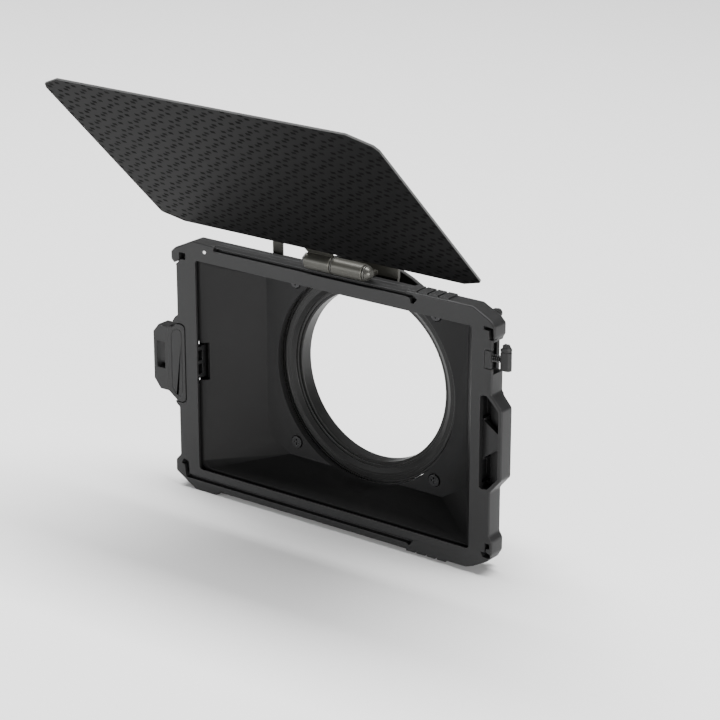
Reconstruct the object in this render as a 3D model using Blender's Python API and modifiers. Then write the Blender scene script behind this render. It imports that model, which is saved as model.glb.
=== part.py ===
"""A compact matte box: a rectangular lens hood for a mirrorless camera.

A flat front frame carries a tapered hood, which is screwed to a round rear ring.
The rear ring holds a turned adapter that screws onto the lens. A carbon flag
stands on a friction hinge above the frame, a sprung pull tab on the left works
the clip that grips the filter, and the right side has a push button and a lock
slide. The origin is on the lens axis, in the plane where the adapter's flange
meets the lens. -Y looks out of the front, +X is right as seen from the front.
"""

import math

import bmesh
import bpy
from mathutils import Vector

# Where the front frame stands, from the lens flange plane and the lens axis.
FRONT = -0.0340
OPENING_Z = -0.0020

# Front frame.
OPENING_WIDTH = 0.1440
OPENING_HEIGHT = 0.0964
OPENING_RADIUS = 0.0016
RAIL_LEFT = -0.0830
RAIL_RIGHT = 0.0818
RAIL_TOP = 0.0565
RAIL_BOTTOM = -0.0568
FRAME_DEPTH = 0.0085
LIP = 0.0010
FILTER_GAP = 0.0028
CHANNEL_X = 0.0742
CHANNEL_Z = 0.0512
CORNER_SCREW_X = 0.0765
CORNER_SCREW_Z = 0.0515
POCKET_DEPTH = 0.0030
GROOVE_DEPTH = 0.0025
GROOVE_LEFT = -0.0616
NOSE_LEFT = -0.0612
NOSE_RIGHT = 0.0396
RIB_START = 0.0402
RIB_PITCH = 0.0052
RIB_WIDTH = 0.0042
RIB_HEIGHT = 0.0008

# Pull tab on the left, and the bow with its slide and button on the right.
TAB_LEFT = -0.0970
PEDESTAL_LEFT = -0.0880
TONGUE_DEPTH = 0.0020
BOW_RIGHT = 0.0871
BOW_DEPTH = 0.0072
BUTTON_X = 0.0861
BUTTON_DEPTH = 0.0050
BUTTON_HEIGHT = 0.0350
BUTTON_HALF = 0.00165

# Hood shell.
FLANGE_WIDTH = 0.1564
FLANGE_HEIGHT = 0.1050
FLANGE_FRONT = 0.0088
FLANGE_BACK = 0.0110
WALL = 0.0019
REAR_WALL_FRONT = 0.0252
REAR_WALL_BACK = 0.0278
REAR_WALL_X = 0.0532
CORNER_CUT_X = 0.0122
CORNER_CUT_Z = 0.0075
REAR_HEIGHT = 0.0435
SEAT_RADIUS = 0.0471
REAR_SCREW_SIDE = 0.0369
COUNTERBORE = 0.0030

# Rear ring and adapter.
RING_RADIUS = 0.0544
RING_BACK_RADIUS = 0.0502
RING_FRONT = 0.0281
RING_BACK = 0.0350
ADAPTER_RADIUS = 0.0468
ADAPTER_FRONT = 0.0284
ADAPTER_FLANGE = 0.0340
ADAPTER_BACK = 0.0376
LENS_THREAD_RADIUS = 0.0410
CLEAR_RADIUS = 0.0382

# Flag, its hinge and its bracket.
HINGE_DEPTH = -0.0002
HINGE_HEIGHT = 0.0603
FLAG_TILT = math.radians(45)
KNUCKLE_RADIUS = 0.0036
KNUCKLE_LEFT = -0.0101
KNUCKLE_SPLIT = 0.0035
KNUCKLE_RIGHT = 0.0194
PIN_RADIUS = 0.0015
FLAG_WIDTH = 0.1644
FLAG_LENGTH = 0.1073
FLAG_START = 0.0087
FLAG_LIFT = 0.0009
FLAG_THICKNESS = 0.0010
LEAF_THICKNESS = 0.0012
BRACKET_FRONT = 0.0113
BRACKET_BACK = 0.0128
BRACKET_LEFT = -0.0381
BRACKET_RIGHT = 0.0272
BRACKET_SCREWS = (-0.0357, 0.0240)
BRACKET_SCREW_HEIGHT = 0.0521
HINGE_SCREWS = (0.0110, 0.0225)
HINGE_SCREW_HEIGHT = 0.0602
POST_WIDTH = 0.0048

# Clearances.
GAP = 0.0003
BORE_GAP = 0.0003

POLYMER = ("black_polymer", (0.030, 0.030, 0.032), 0.55, 0.0)
ANODISED = ("black_anodised", (0.020, 0.020, 0.022), 0.38, 0.8)
BRONZE = ("bronze_anodised", (0.120, 0.115, 0.090), 0.35, 0.9)
STEEL = ("dark_steel", (0.090, 0.090, 0.095), 0.35, 1.0)
SPRING_STEEL = ("spring_steel", (0.500, 0.500, 0.500), 0.30, 1.0)
CARBON = ("carbon_plate", (0.012, 0.012, 0.013), 0.45, 0.0)
WASHER = ("washer_polymer", (0.450, 0.440, 0.400), 0.45, 0.0)


def start():
    """Empties the scene and makes one collection for the parts and one for the tools."""
    for old in list(bpy.data.objects):
        bpy.data.objects.remove(old, do_unlink=True)
    groups = []
    for name in ("matte_box", "cutters"):
        group = bpy.data.collections.new(name)
        bpy.context.scene.collection.children.link(group)
        groups.append(group)
    return groups


PARTS, CUTTERS = start()


def at(x, depth, height):
    """A place given from the front face and the centre of the opening."""
    return Vector((x, FRONT + depth, OPENING_Z + height))


def finish(piece, name, look):
    """Names a piece, puts it in the parts collection and gives it its material."""
    label, colour, roughness, metallic = look
    surface = bpy.data.materials.get(label)
    if surface is None:
        surface = bpy.data.materials.new(label)
        surface.use_nodes = True
        shader = surface.node_tree.nodes["Principled BSDF"]
        shader.inputs["Base Color"].default_value = (*colour, 1.0)
        shader.inputs["Roughness"].default_value = roughness
        shader.inputs["Metallic"].default_value = metallic
    piece.name = name
    piece.data.materials.clear()
    piece.data.materials.append(surface)
    CUTTERS.objects.unlink(piece)
    PARTS.objects.link(piece)
    piece.hide_render = False
    piece.display_type = "TEXTURED"
    return piece


def loose(mesh, place=(0, 0, 0)):
    """A new mesh object, kept with the cutters until finish() makes it a part."""
    shape = bpy.data.objects.new(mesh.name, mesh)
    shape.location = place
    shape.hide_render = True
    shape.display_type = "WIRE"
    CUTTERS.objects.link(shape)
    return shape


def box(low, high):
    low = Vector(low)
    high = Vector(high)
    form = bmesh.new()
    bmesh.ops.create_cube(form, size=1.0)
    bmesh.ops.scale(form, vec=high - low, verts=form.verts)
    mesh = bpy.data.meshes.new("box")
    form.to_mesh(mesh)
    form.free()
    return loose(mesh, (low + high) / 2)


def rod(begin, end, radius, segments=24, tip_radius=None):
    """A solid cylinder, or cone, from one point to another."""
    begin = Vector(begin)
    end = Vector(end)
    form = bmesh.new()
    far = radius if tip_radius is None else tip_radius
    bmesh.ops.create_cone(form, cap_ends=True, segments=segments, radius1=radius,
                          radius2=far, depth=(end - begin).length)
    mesh = bpy.data.meshes.new("rod")
    form.to_mesh(mesh)
    form.free()
    mesh.shade_smooth()
    mesh.set_sharp_from_angle(angle=math.radians(35))
    piece = loose(mesh, (begin + end) / 2)
    piece.rotation_mode = "QUATERNION"
    piece.rotation_quaternion = (end - begin).to_track_quat("Z", "Y")
    return piece


def solid_from_curve(curve_object):
    """Turns a curve object into a closed mesh object in the same place."""
    bpy.context.view_layer.update()
    evaluated = curve_object.evaluated_get(bpy.context.evaluated_depsgraph_get())
    mesh = bpy.data.meshes.new_from_object(evaluated)
    form = bmesh.new()
    form.from_mesh(mesh)
    bmesh.ops.remove_doubles(form, verts=form.verts, dist=0.00001)
    form.to_mesh(mesh)
    form.free()
    piece = loose(mesh)
    piece.matrix_world = curve_object.matrix_world
    bpy.data.objects.remove(curve_object, do_unlink=True)
    return piece


def flat_curve(outline, thickness):
    """A filled 2D curve in its own XY plane, centred on Z."""
    curve = bpy.data.curves.new("outline", "CURVE")
    curve.dimensions = "2D"
    curve.fill_mode = "BOTH"
    curve.extrude = thickness / 2
    spline = curve.splines.new("POLY")
    spline.points.add(len(outline) - 1)
    for point, (across, along) in zip(spline.points, outline):
        point.co = (across, along, 0, 1)
    spline.use_cyclic_u = True
    drawn = bpy.data.objects.new("outline", curve)
    CUTTERS.objects.link(drawn)
    return drawn


def plate(outline, front, back):
    """An upright plate: the outline is (x, height), and front and back are depths."""
    drawn = flat_curve(outline, back - front)
    drawn.location = at(0, (front + back) / 2, 0)
    drawn.rotation_euler = (math.radians(90), 0, 0)
    return solid_from_curve(drawn)


def turned(profile, place, direction="Y", segments=64):
    """A solid of revolution. The profile is (radius, distance), outer side first to last.

    Distance grows along the axis, and the profile starts at its far end.
    """
    mesh = bpy.data.meshes.new("profile")
    form = bmesh.new()
    corners = [form.verts.new((radius, 0, along)) for radius, along in profile]
    for first, second in zip(corners, corners[1:]):
        form.edges.new((first, second))
    if profile[0][0] > 0:
        form.edges.new((corners[-1], corners[0]))
    form.to_mesh(mesh)
    form.free()
    piece = loose(mesh, place)
    turns = {"X": (0, math.radians(90), 0), "Y": (math.radians(-90), 0, 0), "Z": (0, 0, 0)}
    piece.rotation_euler = turns[direction]
    screw = piece.modifiers.new("turn", "SCREW")
    screw.steps = segments
    screw.render_steps = segments
    screw.use_merge_vertices = True
    screw.merge_threshold = 0.00001
    return piece


def change(body, tools, operation):
    for tool in tools:
        step = body.modifiers.new(operation.lower(), "BOOLEAN")
        step.operation = operation
        step.solver = "EXACT"
        step.object = tool
    return body


def cut(body, *tools):
    return change(body, tools, "DIFFERENCE")


def fuse(body, *tools):
    return change(body, tools, "UNION")


def soften(body, width, segments=2):
    """Rounds every edge sharper than 30 degrees."""
    round_off = body.modifiers.new("soften", "BEVEL")
    round_off.width = width
    round_off.segments = segments
    round_off.limit_method = "ANGLE"
    round_off.angle_limit = math.radians(30)
    return body


def arc(centre, radius, first, last, steps):
    """Points along an arc, from one angle to another, in degrees."""
    points = []
    for step in range(steps + 1):
        angle = math.radians(first + (last - first) * step / steps)
        points.append((centre[0] + radius * math.cos(angle), centre[1] + radius * math.sin(angle)))
    return points


def rounded_rectangle(width, height, radius, steps=4):
    x = width / 2 - radius
    z = height / 2 - radius
    points = []
    for centre, first in (((x, z), 0), ((-x, z), 90), ((-x, -z), 180), ((x, -z), 270)):
        points += arc(centre, radius, first, first + 90, steps)
    return points


def axis_empty(name, place, turn=(0, 0, 0)):
    """An empty on a joint's axis, which its moving pieces are parented to."""
    empty = bpy.data.objects.new(name, None)
    empty.location = place
    empty.rotation_euler = turn
    empty.empty_display_size = 0.01
    PARTS.objects.link(empty)
    return empty


def ride(piece, empty):
    """Parents a piece to its joint's empty and leaves it where it stands."""
    bpy.context.view_layer.update()
    piece.parent = empty
    piece.matrix_parent_inverse = empty.matrix_world.inverted()
    return piece


def pan_head_screw(name, seat, direction, head, head_radius, shank_radius, shank_length):
    """A screw whose head stands on the seat point, with its shank running along direction."""
    seat = Vector(seat)
    way = Vector(direction)
    dome = rod(seat - way * head * 0.45, seat - way * head, head_radius, 20, head_radius * 0.72)
    base = rod(seat - way * head * 0.5, seat, head_radius, 20)
    shank = rod(seat - way * head * 0.2, seat + way * shank_length, shank_radius, 16)
    return finish(fuse(base, dome, shank), name, STEEL)


def coil_spring(name, begin, length, radius, wire, turns):
    """A compression spring along +X."""
    curve = bpy.data.curves.new("coil", "CURVE")
    curve.dimensions = "3D"
    curve.bevel_depth = wire / 2
    curve.bevel_resolution = 1
    curve.use_fill_caps = True
    steps = turns * 8
    spline = curve.splines.new("POLY")
    spline.points.add(steps)
    for index, point in enumerate(spline.points):
        angle = math.tau * turns * index / steps
        along = wire / 2 + (length - wire) * index / steps
        point.co = (along, radius * math.cos(angle), radius * math.sin(angle), 1)
    wound = bpy.data.objects.new("coil", curve)
    wound.location = begin
    CUTTERS.objects.link(wound)
    return finish(solid_from_curve(wound), name, SPRING_STEEL)


# --- Front frame -----------------------------------------------------------

def frame_outline():
    """The front frame's silhouette, clockwise from the top left corner."""
    top_left = [(RAIL_LEFT, 0.0440), (-0.0857, 0.0464), (-0.0857, 0.0500), (-0.0834, 0.0520),
                (-0.0736, RAIL_TOP)]
    top_right = [(0.0720, RAIL_TOP), (0.0808, 0.0521), (0.0829, 0.0500), (0.0829, 0.0450)]
    right_bow = [(RAIL_RIGHT, 0.0436), (RAIL_RIGHT, 0.0208), (BOW_RIGHT, 0.0151),
                 (BOW_RIGHT, -0.0148), (RAIL_RIGHT, -0.0209), (RAIL_RIGHT, -0.0402)]
    bottom_right = [(0.0833, -0.0425), (0.0833, -0.0480), (0.0811, -0.0517),
                    (0.0739, -0.0556), (0.0705, RAIL_BOTTOM)]
    bottom_left = [(-0.0606, RAIL_BOTTOM), (-0.0625, -0.0584), (-0.0750, -0.0584),
                   (-0.0857, -0.0520), (-0.0857, -0.0466), (RAIL_LEFT, -0.0438)]
    pedestal = [(RAIL_LEFT, -0.0213), (-0.0846, -0.0202), (PEDESTAL_LEFT, -0.0152),
                (PEDESTAL_LEFT, 0.0152), (-0.0846, 0.0202), (RAIL_LEFT, 0.0213)]
    return top_left + top_right + right_bow + bottom_right + bottom_left + pedestal


def top_groove():
    """The long groove above the opening, with its hooked right end."""
    return [(GROOVE_LEFT, 0.0540), (GROOVE_LEFT, 0.0554), (0.0425, 0.0554), (0.0452, 0.0538),
            (0.0432, 0.0516), (0.0420, 0.0518), (0.0415, 0.0540)]


def bottom_groove():
    """The groove below the opening, which grows out of the lower left corner's slot."""
    slot = [(-0.0812, -0.0453), (-0.0822, -0.0476), (-0.0806, -0.0480), (-0.0798, -0.0537)]
    rail = [(0.0404, -0.0537), (0.0420, -0.0546), (0.0444, -0.0517), (-0.0777, -0.0517)]
    return slot + rail + [(-0.0782, -0.0458)]


def corner_pockets():
    """Outlines of the small pockets in the corners."""
    top_left = [(-0.0809, 0.0503), (-0.0774, 0.0503), (-0.0774, 0.0474), (-0.0798, 0.0474),
                (-0.0840, 0.0436), (-0.0848, 0.0444), (-0.0809, 0.0470)]
    top_right = [(0.0776, 0.0494), (0.0822, 0.0490), (0.0824, 0.0438), (0.0803, 0.0442),
                 (0.0802, 0.0478), (0.0776, 0.0480)]
    bottom_right = [(0.0799, -0.0436), (0.0822, -0.0436), (0.0822, -0.0458), (0.0804, -0.0460),
                    (0.0805, -0.0475), (0.0826, -0.0482), (0.0821, -0.0502), (0.0789, -0.0498),
                    (0.0778, -0.0478), (0.0799, -0.0477)]
    return top_left, top_right, bottom_right


def make_front_frame():
    body = plate(frame_outline(), 0, FRAME_DEPTH)
    soften(body, 0.0008)
    ribs = []
    for number in range(4):
        left = RIB_START + number * RIB_PITCH
        for edge, way in ((RAIL_TOP, 1), (RAIL_BOTTOM, -1)):
            near = edge - way * 0.0010
            far = edge + way * RIB_HEIGHT
            rib = box(at(left, 0.0006, min(near, far)),
                      at(left + RIB_WIDTH, FRAME_DEPTH - 0.0009, max(near, far)))
            ribs.append(rib)
    fuse(body, *ribs)
    opening = plate(rounded_rectangle(OPENING_WIDTH, OPENING_HEIGHT, OPENING_RADIUS), -0.001, 0.010)
    channel = box(at(-CHANNEL_X, LIP, -CHANNEL_Z), at(CHANNEL_X, 0.010, CHANNEL_Z))
    grooves = [plate(top_groove(), -0.001, GROOVE_DEPTH), plate(bottom_groove(), -0.001, GROOVE_DEPTH)]
    pockets = [plate(outline, -0.001, POCKET_DEPTH) for outline in corner_pockets()]
    cut(body, opening, channel, *grooves, *pockets)

    # Left side: a shallow seat for the pull tab's tongue, and the way in for its arm.
    seat = [(-0.100, 0.0178), (-0.0806, 0.0178), (-0.0789, 0.0171), (-0.0784, 0.0155),
            (-0.0784, -0.0165), (-0.0789, -0.0181), (-0.0806, -0.0190), (-0.100, -0.0190)]
    cut(body,
        plate(seat, -0.001, TONGUE_DEPTH),
        box(at(-0.100, 0.0019, -0.0056), at(-0.0730, 0.0057, 0.0056)),
        box(at(-0.0847, 0.0055, -0.0056), at(-0.0730, 0.0090, 0.0056)),
        box(at(-0.0780, LIP, -0.0100), at(-0.0730, 0.0090, 0.0100)))

    # Right side: the button's recess, its cover's seat, the bow's window and the slide's channel.
    window = [(0.0765, 0.0192), (0.0772, 0.0200), (0.0795, 0.0202), (0.0854, 0.0146),
              (0.0854, -0.0145), (0.0806, -0.0199), (0.0778, -0.0204), (0.0765, -0.0196)]
    cut(body,
        box(at(0.0770, 0.0014, 0.0294), at(0.0900, 0.0100, 0.0428)),
        box(at(0.0781, -0.001, 0.0317), at(0.0900, 0.0016, 0.0397)),
        box(at(0.0824, BOW_DEPTH, -0.0215), at(0.0900, 0.0100, 0.0215)),
        plate(window, -0.001, 0.0060),
        box(at(0.0748, 0.0024, -0.0186), at(0.0779, 0.0080, 0.0196)))

    for x in (-CORNER_SCREW_X, CORNER_SCREW_X):
        for height in (-CORNER_SCREW_Z, CORNER_SCREW_Z):
            cut(body, rod(at(x, 0.0036, height), at(x, 0.0100, height), 0.0013, 16))

    # Above the top groove the rail is set back, with a slope up to its top.
    nose = [(-0.001, 0.0550), (0.0005, 0.0550), (0.0027, 0.0575), (-0.001, 0.0575)]
    slope = plate(nose, 0, NOSE_RIGHT - NOSE_LEFT)
    slope.rotation_euler = (math.radians(90), 0, math.radians(90))
    slope.location = at((NOSE_LEFT + NOSE_RIGHT) / 2, 0, 0)
    cut(body, slope)
    return finish(body, "front_frame", POLYMER)


# --- Hood shell and rear ring ------------------------------------------------

def tunnel_ring(width, bottom, top, cut_x, cut_z):
    """Eight corners of the hood's cross-section, as (x, height)."""
    return [(-width, bottom + cut_z), (-width + cut_x, bottom), (width - cut_x, bottom),
            (width, bottom + cut_z), (width, top - cut_z), (width - cut_x, top),
            (-width + cut_x, top), (-width, top - cut_z)]


def loft(near_ring, near_depth, far_ring, far_depth):
    """A solid between two outlines of eight corners each."""
    form = bmesh.new()
    near = [form.verts.new(at(x, near_depth, z)) for x, z in near_ring]
    far = [form.verts.new(at(x, far_depth, z)) for x, z in far_ring]
    form.faces.new(near)
    form.faces.new(list(reversed(far)))
    count = len(near)
    for index in range(count):
        after = (index + 1) % count
        form.faces.new((near[index], far[index], far[after], near[after]))
    bmesh.ops.recalc_face_normals(form, faces=form.faces)
    mesh = bpy.data.meshes.new("loft")
    form.to_mesh(mesh)
    form.free()
    return loose(mesh)


def make_hood_shell():
    lens = -OPENING_Z
    half = OPENING_HEIGHT / 2
    spigot = LIP + FILTER_GAP
    small = 0.0030
    inside = loft(
        tunnel_ring(OPENING_WIDTH / 2, -half, half, small, small), spigot - 0.00001,
        tunnel_ring(REAR_WALL_X, lens - REAR_HEIGHT, lens + REAR_HEIGHT, CORNER_CUT_X,
                    CORNER_CUT_Z), REAR_WALL_FRONT)
    body = loft(
        tunnel_ring(OPENING_WIDTH / 2 + WALL, -half - WALL, half + WALL, small, small), spigot,
        tunnel_ring(REAR_WALL_X + 0.0022, lens - REAR_HEIGHT - 0.0022,
                    lens + REAR_HEIGHT + 0.0022, CORNER_CUT_X, CORNER_CUT_Z), REAR_WALL_BACK)
    flange = plate(rounded_rectangle(FLANGE_WIDTH, FLANGE_HEIGHT, 0.0040), FLANGE_FRONT, FLANGE_BACK)
    lugs = [rod(at(x, FLANGE_FRONT, z), at(x, FLANGE_BACK, z), 0.0023, 24)
            for x in (-CORNER_SCREW_X, CORNER_SCREW_X) for z in (-CORNER_SCREW_Z, CORNER_SCREW_Z)]
    bracket_seat = box(at(-0.0381, FLANGE_FRONT, 0.0480), at(0.0272, FLANGE_BACK, 0.0543))
    collar = rod(at(0, 0.0160, lens), at(0, REAR_WALL_BACK, lens), SEAT_RADIUS + 0.0022, 64)
    fuse(body, flange, bracket_seat, *lugs, collar)
    cut(body, inside, rod(at(0, 0.0134, lens), at(0, 0.0300, lens), SEAT_RADIUS, 96))
    for x in (-CORNER_SCREW_X, CORNER_SCREW_X):
        for height in (-CORNER_SCREW_Z, CORNER_SCREW_Z):
            cut(body, rod(at(x, 0.0080, height), at(x, 0.0120, height), 0.0014, 16))
    for x, height in rear_screw_places():
        cut(body, rod(at(x, 0.0240, height), at(x, 0.0290, height), 0.0017, 16),
            rod(at(x, 0.0240, height), at(x, 0.0262, height), COUNTERBORE, 24))
    for x in BRACKET_SCREWS:
        hole = BRACKET_SCREW_HEIGHT
        cut(body, rod(at(x, 0.0080, hole), at(x, 0.0120, hole), 0.0011, 16))
    # A window in the left wall, where the filter clip stands.
    cut(body, box(at(-0.0780, 0.0020, -0.0075), at(-0.0700, 0.0068, 0.0096)))
    return finish(body, "hood_shell", POLYMER)


def rear_screw_places():
    lens = -OPENING_Z
    side = REAR_SCREW_SIDE
    return [(-side, lens + side), (side, lens + side), (side, lens - side), (-side, lens - side)]


def make_rear_ring():
    lens = -OPENING_Z
    depth = RING_BACK - RING_FRONT
    bore = ADAPTER_RADIUS + BORE_GAP
    profile = [(bore, depth), (RING_BACK_RADIUS - 0.0005, depth), (RING_BACK_RADIUS, depth - 0.0005),
               (RING_RADIUS, 0.0010), (RING_RADIUS - 0.0008, 0), (bore, 0)]
    ring = turned(profile, at(0, RING_FRONT, lens), "Y", 72)
    for x, height in rear_screw_places():
        fuse(ring, rod(at(x, RING_FRONT + 0.0002, height), at(x, RING_FRONT + 0.0052, height),
                       0.0042, 24))
    for x, height in rear_screw_places():
        cut(ring, rod(at(x, RING_FRONT - 0.001, height), at(x, RING_FRONT + 0.0044, height),
                      0.0015, 16))
    return finish(ring, "rear_ring", ANODISED)


def make_adapter_ring(axis):
    """A stepped ring: a flange that sits in the rear ring and a spigot for the lens thread."""
    lens = -OPENING_Z
    flange = ADAPTER_FLANGE - ADAPTER_FRONT
    back = ADAPTER_BACK - ADAPTER_FRONT
    profile = [
        (CLEAR_RADIUS + 0.0004, back), (LENS_THREAD_RADIUS - 0.0004, back),
        (LENS_THREAD_RADIUS, back - 0.0004), (LENS_THREAD_RADIUS, flange),
        (ADAPTER_RADIUS, flange), (ADAPTER_RADIUS, 0),
        (0.0461, 0), (0.0461, 0.0006), (0.0453, 0.0006), (0.0453, 0),
        (0.0425, 0), (0.0405, 0.0012), (0.0405, 0.0018), (0.0394, 0.0018),
        (0.0394, 0.0026), (CLEAR_RADIUS, 0.0026), (CLEAR_RADIUS, back - 0.0006),
    ]
    ring = turned(profile, at(0, ADAPTER_FRONT, lens), "Y", 72)
    finish(ring, "adapter_ring", ANODISED)
    return ride(ring, axis)


# --- Flag, hinge and bracket ---------------------------------------------------

def make_bracket():
    """A flat goalpost plate behind the frame, which carries the hinge."""
    outline = [(BRACKET_LEFT, 0.0500), (BRACKET_RIGHT, 0.0500), (BRACKET_RIGHT, 0.0640),
               (BRACKET_RIGHT - 0.0015, 0.0655), (BRACKET_LEFT + 0.0015, 0.0655),
               (BRACKET_LEFT, 0.0640)]
    body = plate(outline, BRACKET_FRONT, BRACKET_BACK)
    window = plate([(BRACKET_LEFT + POST_WIDTH, 0.0548), (0.0040, 0.0548), (0.0040, 0.0613),
                    (BRACKET_LEFT + POST_WIDTH, 0.0613)], BRACKET_FRONT - 0.001, BRACKET_BACK + 0.001)
    cut(body, window)
    places = [(x, BRACKET_SCREW_HEIGHT) for x in BRACKET_SCREWS]
    places += [(x, HINGE_SCREW_HEIGHT) for x in HINGE_SCREWS]
    for x, height in places:
        cut(body, rod(at(x, 0.0105, height), at(x, 0.0135, height), 0.0014, 16))
    return finish(body, "flag_bracket", BRONZE)


def make_hinge_base():
    """The fixed knuckle, with an arm back over the frame to a plate on the bracket."""
    knuckle = rod(at(KNUCKLE_SPLIT + 0.0006, HINGE_DEPTH, HINGE_HEIGHT),
                  at(KNUCKLE_RIGHT, HINGE_DEPTH, HINGE_HEIGHT), KNUCKLE_RADIUS, 40)
    soften(knuckle, 0.0003, 1)
    arm = box(at(0.0075, HINGE_DEPTH, 0.0569), at(0.0185, 0.0110, 0.0587))
    upright = box(at(0.0075, 0.0094, 0.0569), at(0.0288, 0.0110, 0.0632))
    fuse(knuckle, arm, upright)
    cut(knuckle, rod(at(0.000, HINGE_DEPTH, HINGE_HEIGHT), at(0.022, HINGE_DEPTH, HINGE_HEIGHT),
                     PIN_RADIUS + BORE_GAP, 24))
    for x in HINGE_SCREWS:
        hole = HINGE_SCREW_HEIGHT
        cut(knuckle, rod(at(x, 0.0099, hole), at(x, 0.0120, hole), 0.0011, 16))
    return finish(knuckle, "hinge_base", BRONZE)


def make_hinge_pin():
    """The pin, its domed head on the right, the nut on its left end and the washer between."""
    dome = 0.0027
    head = 0.0032
    start = KNUCKLE_LEFT - 0.0011
    long = KNUCKLE_RIGHT + GAP - start
    profile = [(0, long + dome + 0.0003), (head * 0.55, long + dome),
               (head * 0.90, long + dome * 0.6), (head, long + dome * 0.2),
               (head, long), (PIN_RADIUS, long), (PIN_RADIUS, 0), (0, 0)]
    pin = turned(profile, at(start, HINGE_DEPTH, HINGE_HEIGHT), "X", 32)
    finish(pin, "hinge_pin", STEEL)
    ring = [(PIN_RADIUS + BORE_GAP, 0.0009), (0.0030, 0.0009), (0.0030, 0), (PIN_RADIUS + BORE_GAP, 0)]
    nut = turned(ring, at(KNUCKLE_LEFT - 0.0012, HINGE_DEPTH, HINGE_HEIGHT), "X", 6)
    finish(nut, "hinge_nut", STEEL)
    thin = [(PIN_RADIUS + BORE_GAP, 0.0005), (0.0033, 0.0005), (0.0033, 0),
            (PIN_RADIUS + BORE_GAP, 0)]
    washer = turned(thin, at(KNUCKLE_SPLIT - 0.0002, HINGE_DEPTH, HINGE_HEIGHT), "X", 32)
    finish(washer, "friction_washer", WASHER)
    return pin


def flag_outline():
    """Half-width x against the distance from the hinge axis, which runs along local -Y."""
    half = FLAG_WIDTH / 2
    start = -FLAG_START
    end = start - FLAG_LENGTH
    right = [(half - 0.0102, start), (half - 0.0008, start - 0.0043), (half, start - 0.0055),
             (half, end + 0.0082), (half - 0.0014, end + 0.0052), (half - 0.0112, end)]
    return right + [(-x, y) for x, y in reversed(right)]


def make_flag(hinge):
    """The carbon plate and the leaf on its upper side, drawn flat in the hinge's own axes."""
    drawn = flat_curve(flag_outline(), FLAG_THICKNESS)
    drawn.location = (0, 0, FLAG_LIFT + FLAG_THICKNESS / 2)
    plate_solid = solid_from_curve(drawn)
    plate_solid.parent = hinge
    finish(plate_solid, "top_flag", CARBON)

    low = FLAG_LIFT + FLAG_THICKNESS + GAP
    high = low + LEAF_THICKNESS
    knuckle = rod((KNUCKLE_LEFT, 0, 0), (KNUCKLE_SPLIT - 0.0006, 0, 0), KNUCKLE_RADIUS, 40)
    soften(knuckle, 0.0003, 1)
    neck = box((KNUCKLE_LEFT, -0.0120, low), (KNUCKLE_SPLIT - 0.0006, 0.0, high))
    leaf = box((-0.0240, -0.0270, low), (0.0280, -0.0100, high))
    bore = rod((-0.013, 0, 0), (0.004, 0, 0), PIN_RADIUS + BORE_GAP, 24)
    for shape in (knuckle, neck, leaf, bore):
        shape.parent = hinge
    fuse(knuckle, neck, leaf)
    cut(knuckle, bore)
    return finish(knuckle, "flag_leaf", BRONZE)


# --- Left pull tab and filter clip -----------------------------------------------

def make_pull_tab(axis):
    """The tab, its tongue on the frame's face and the arm that carries the clip."""
    tongue = [(-0.0884, 0.0148), (-0.0858, 0.0152), (-0.0840, 0.0170), (-0.0812, 0.0174),
              (-0.0793, 0.0167), (-0.0788, 0.0150), (-0.0788, -0.0162), (-0.0793, -0.0179),
              (-0.0812, -0.0186), (-0.0838, -0.0184), (-0.0884, -0.0148)]
    body = plate(tongue, -0.0002, TONGUE_DEPTH - GAP)
    tab = plate([(TAB_LEFT, 0.0112), (-0.0938, 0.0150), (-0.0883, 0.0150), (-0.0883, -0.0150),
                 (-0.0935, -0.0150), (TAB_LEFT, -0.0106)], 0.0, 0.0066)
    root = box(at(-0.0885, 0.0010, -0.0050), at(-0.0795, 0.0030, 0.0050))
    arm = box(at(-0.0885, 0.0023, -0.0050), at(-0.0752, 0.0053, 0.0050))
    heel = box(at(-0.0795, 0.0050, -0.0025), at(-0.0777, 0.0082, 0.0025))
    fuse(body, tab, root, arm, heel)
    cut(body, box(at(-0.0951, -0.002, -0.0050), at(-0.0905, 0.0080, 0.0073)))
    finish(body, "pull_tab", POLYMER)
    ride(body, axis)

    comb = box(at(-0.0748, 0.0038, -0.0062), at(-0.0722, 0.0062, 0.0084))
    teeth = [box(at(-0.0735, 0.0013, z), at(-0.0722, 0.0040, z + 0.0016))
             for z in (-0.0060, 0.0003, 0.0066)]
    fuse(comb, *teeth)
    finish(comb, "filter_clip", BRONZE)
    ride(comb, axis)
    return body


# --- Right push button and lock slide ----------------------------------------------

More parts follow.
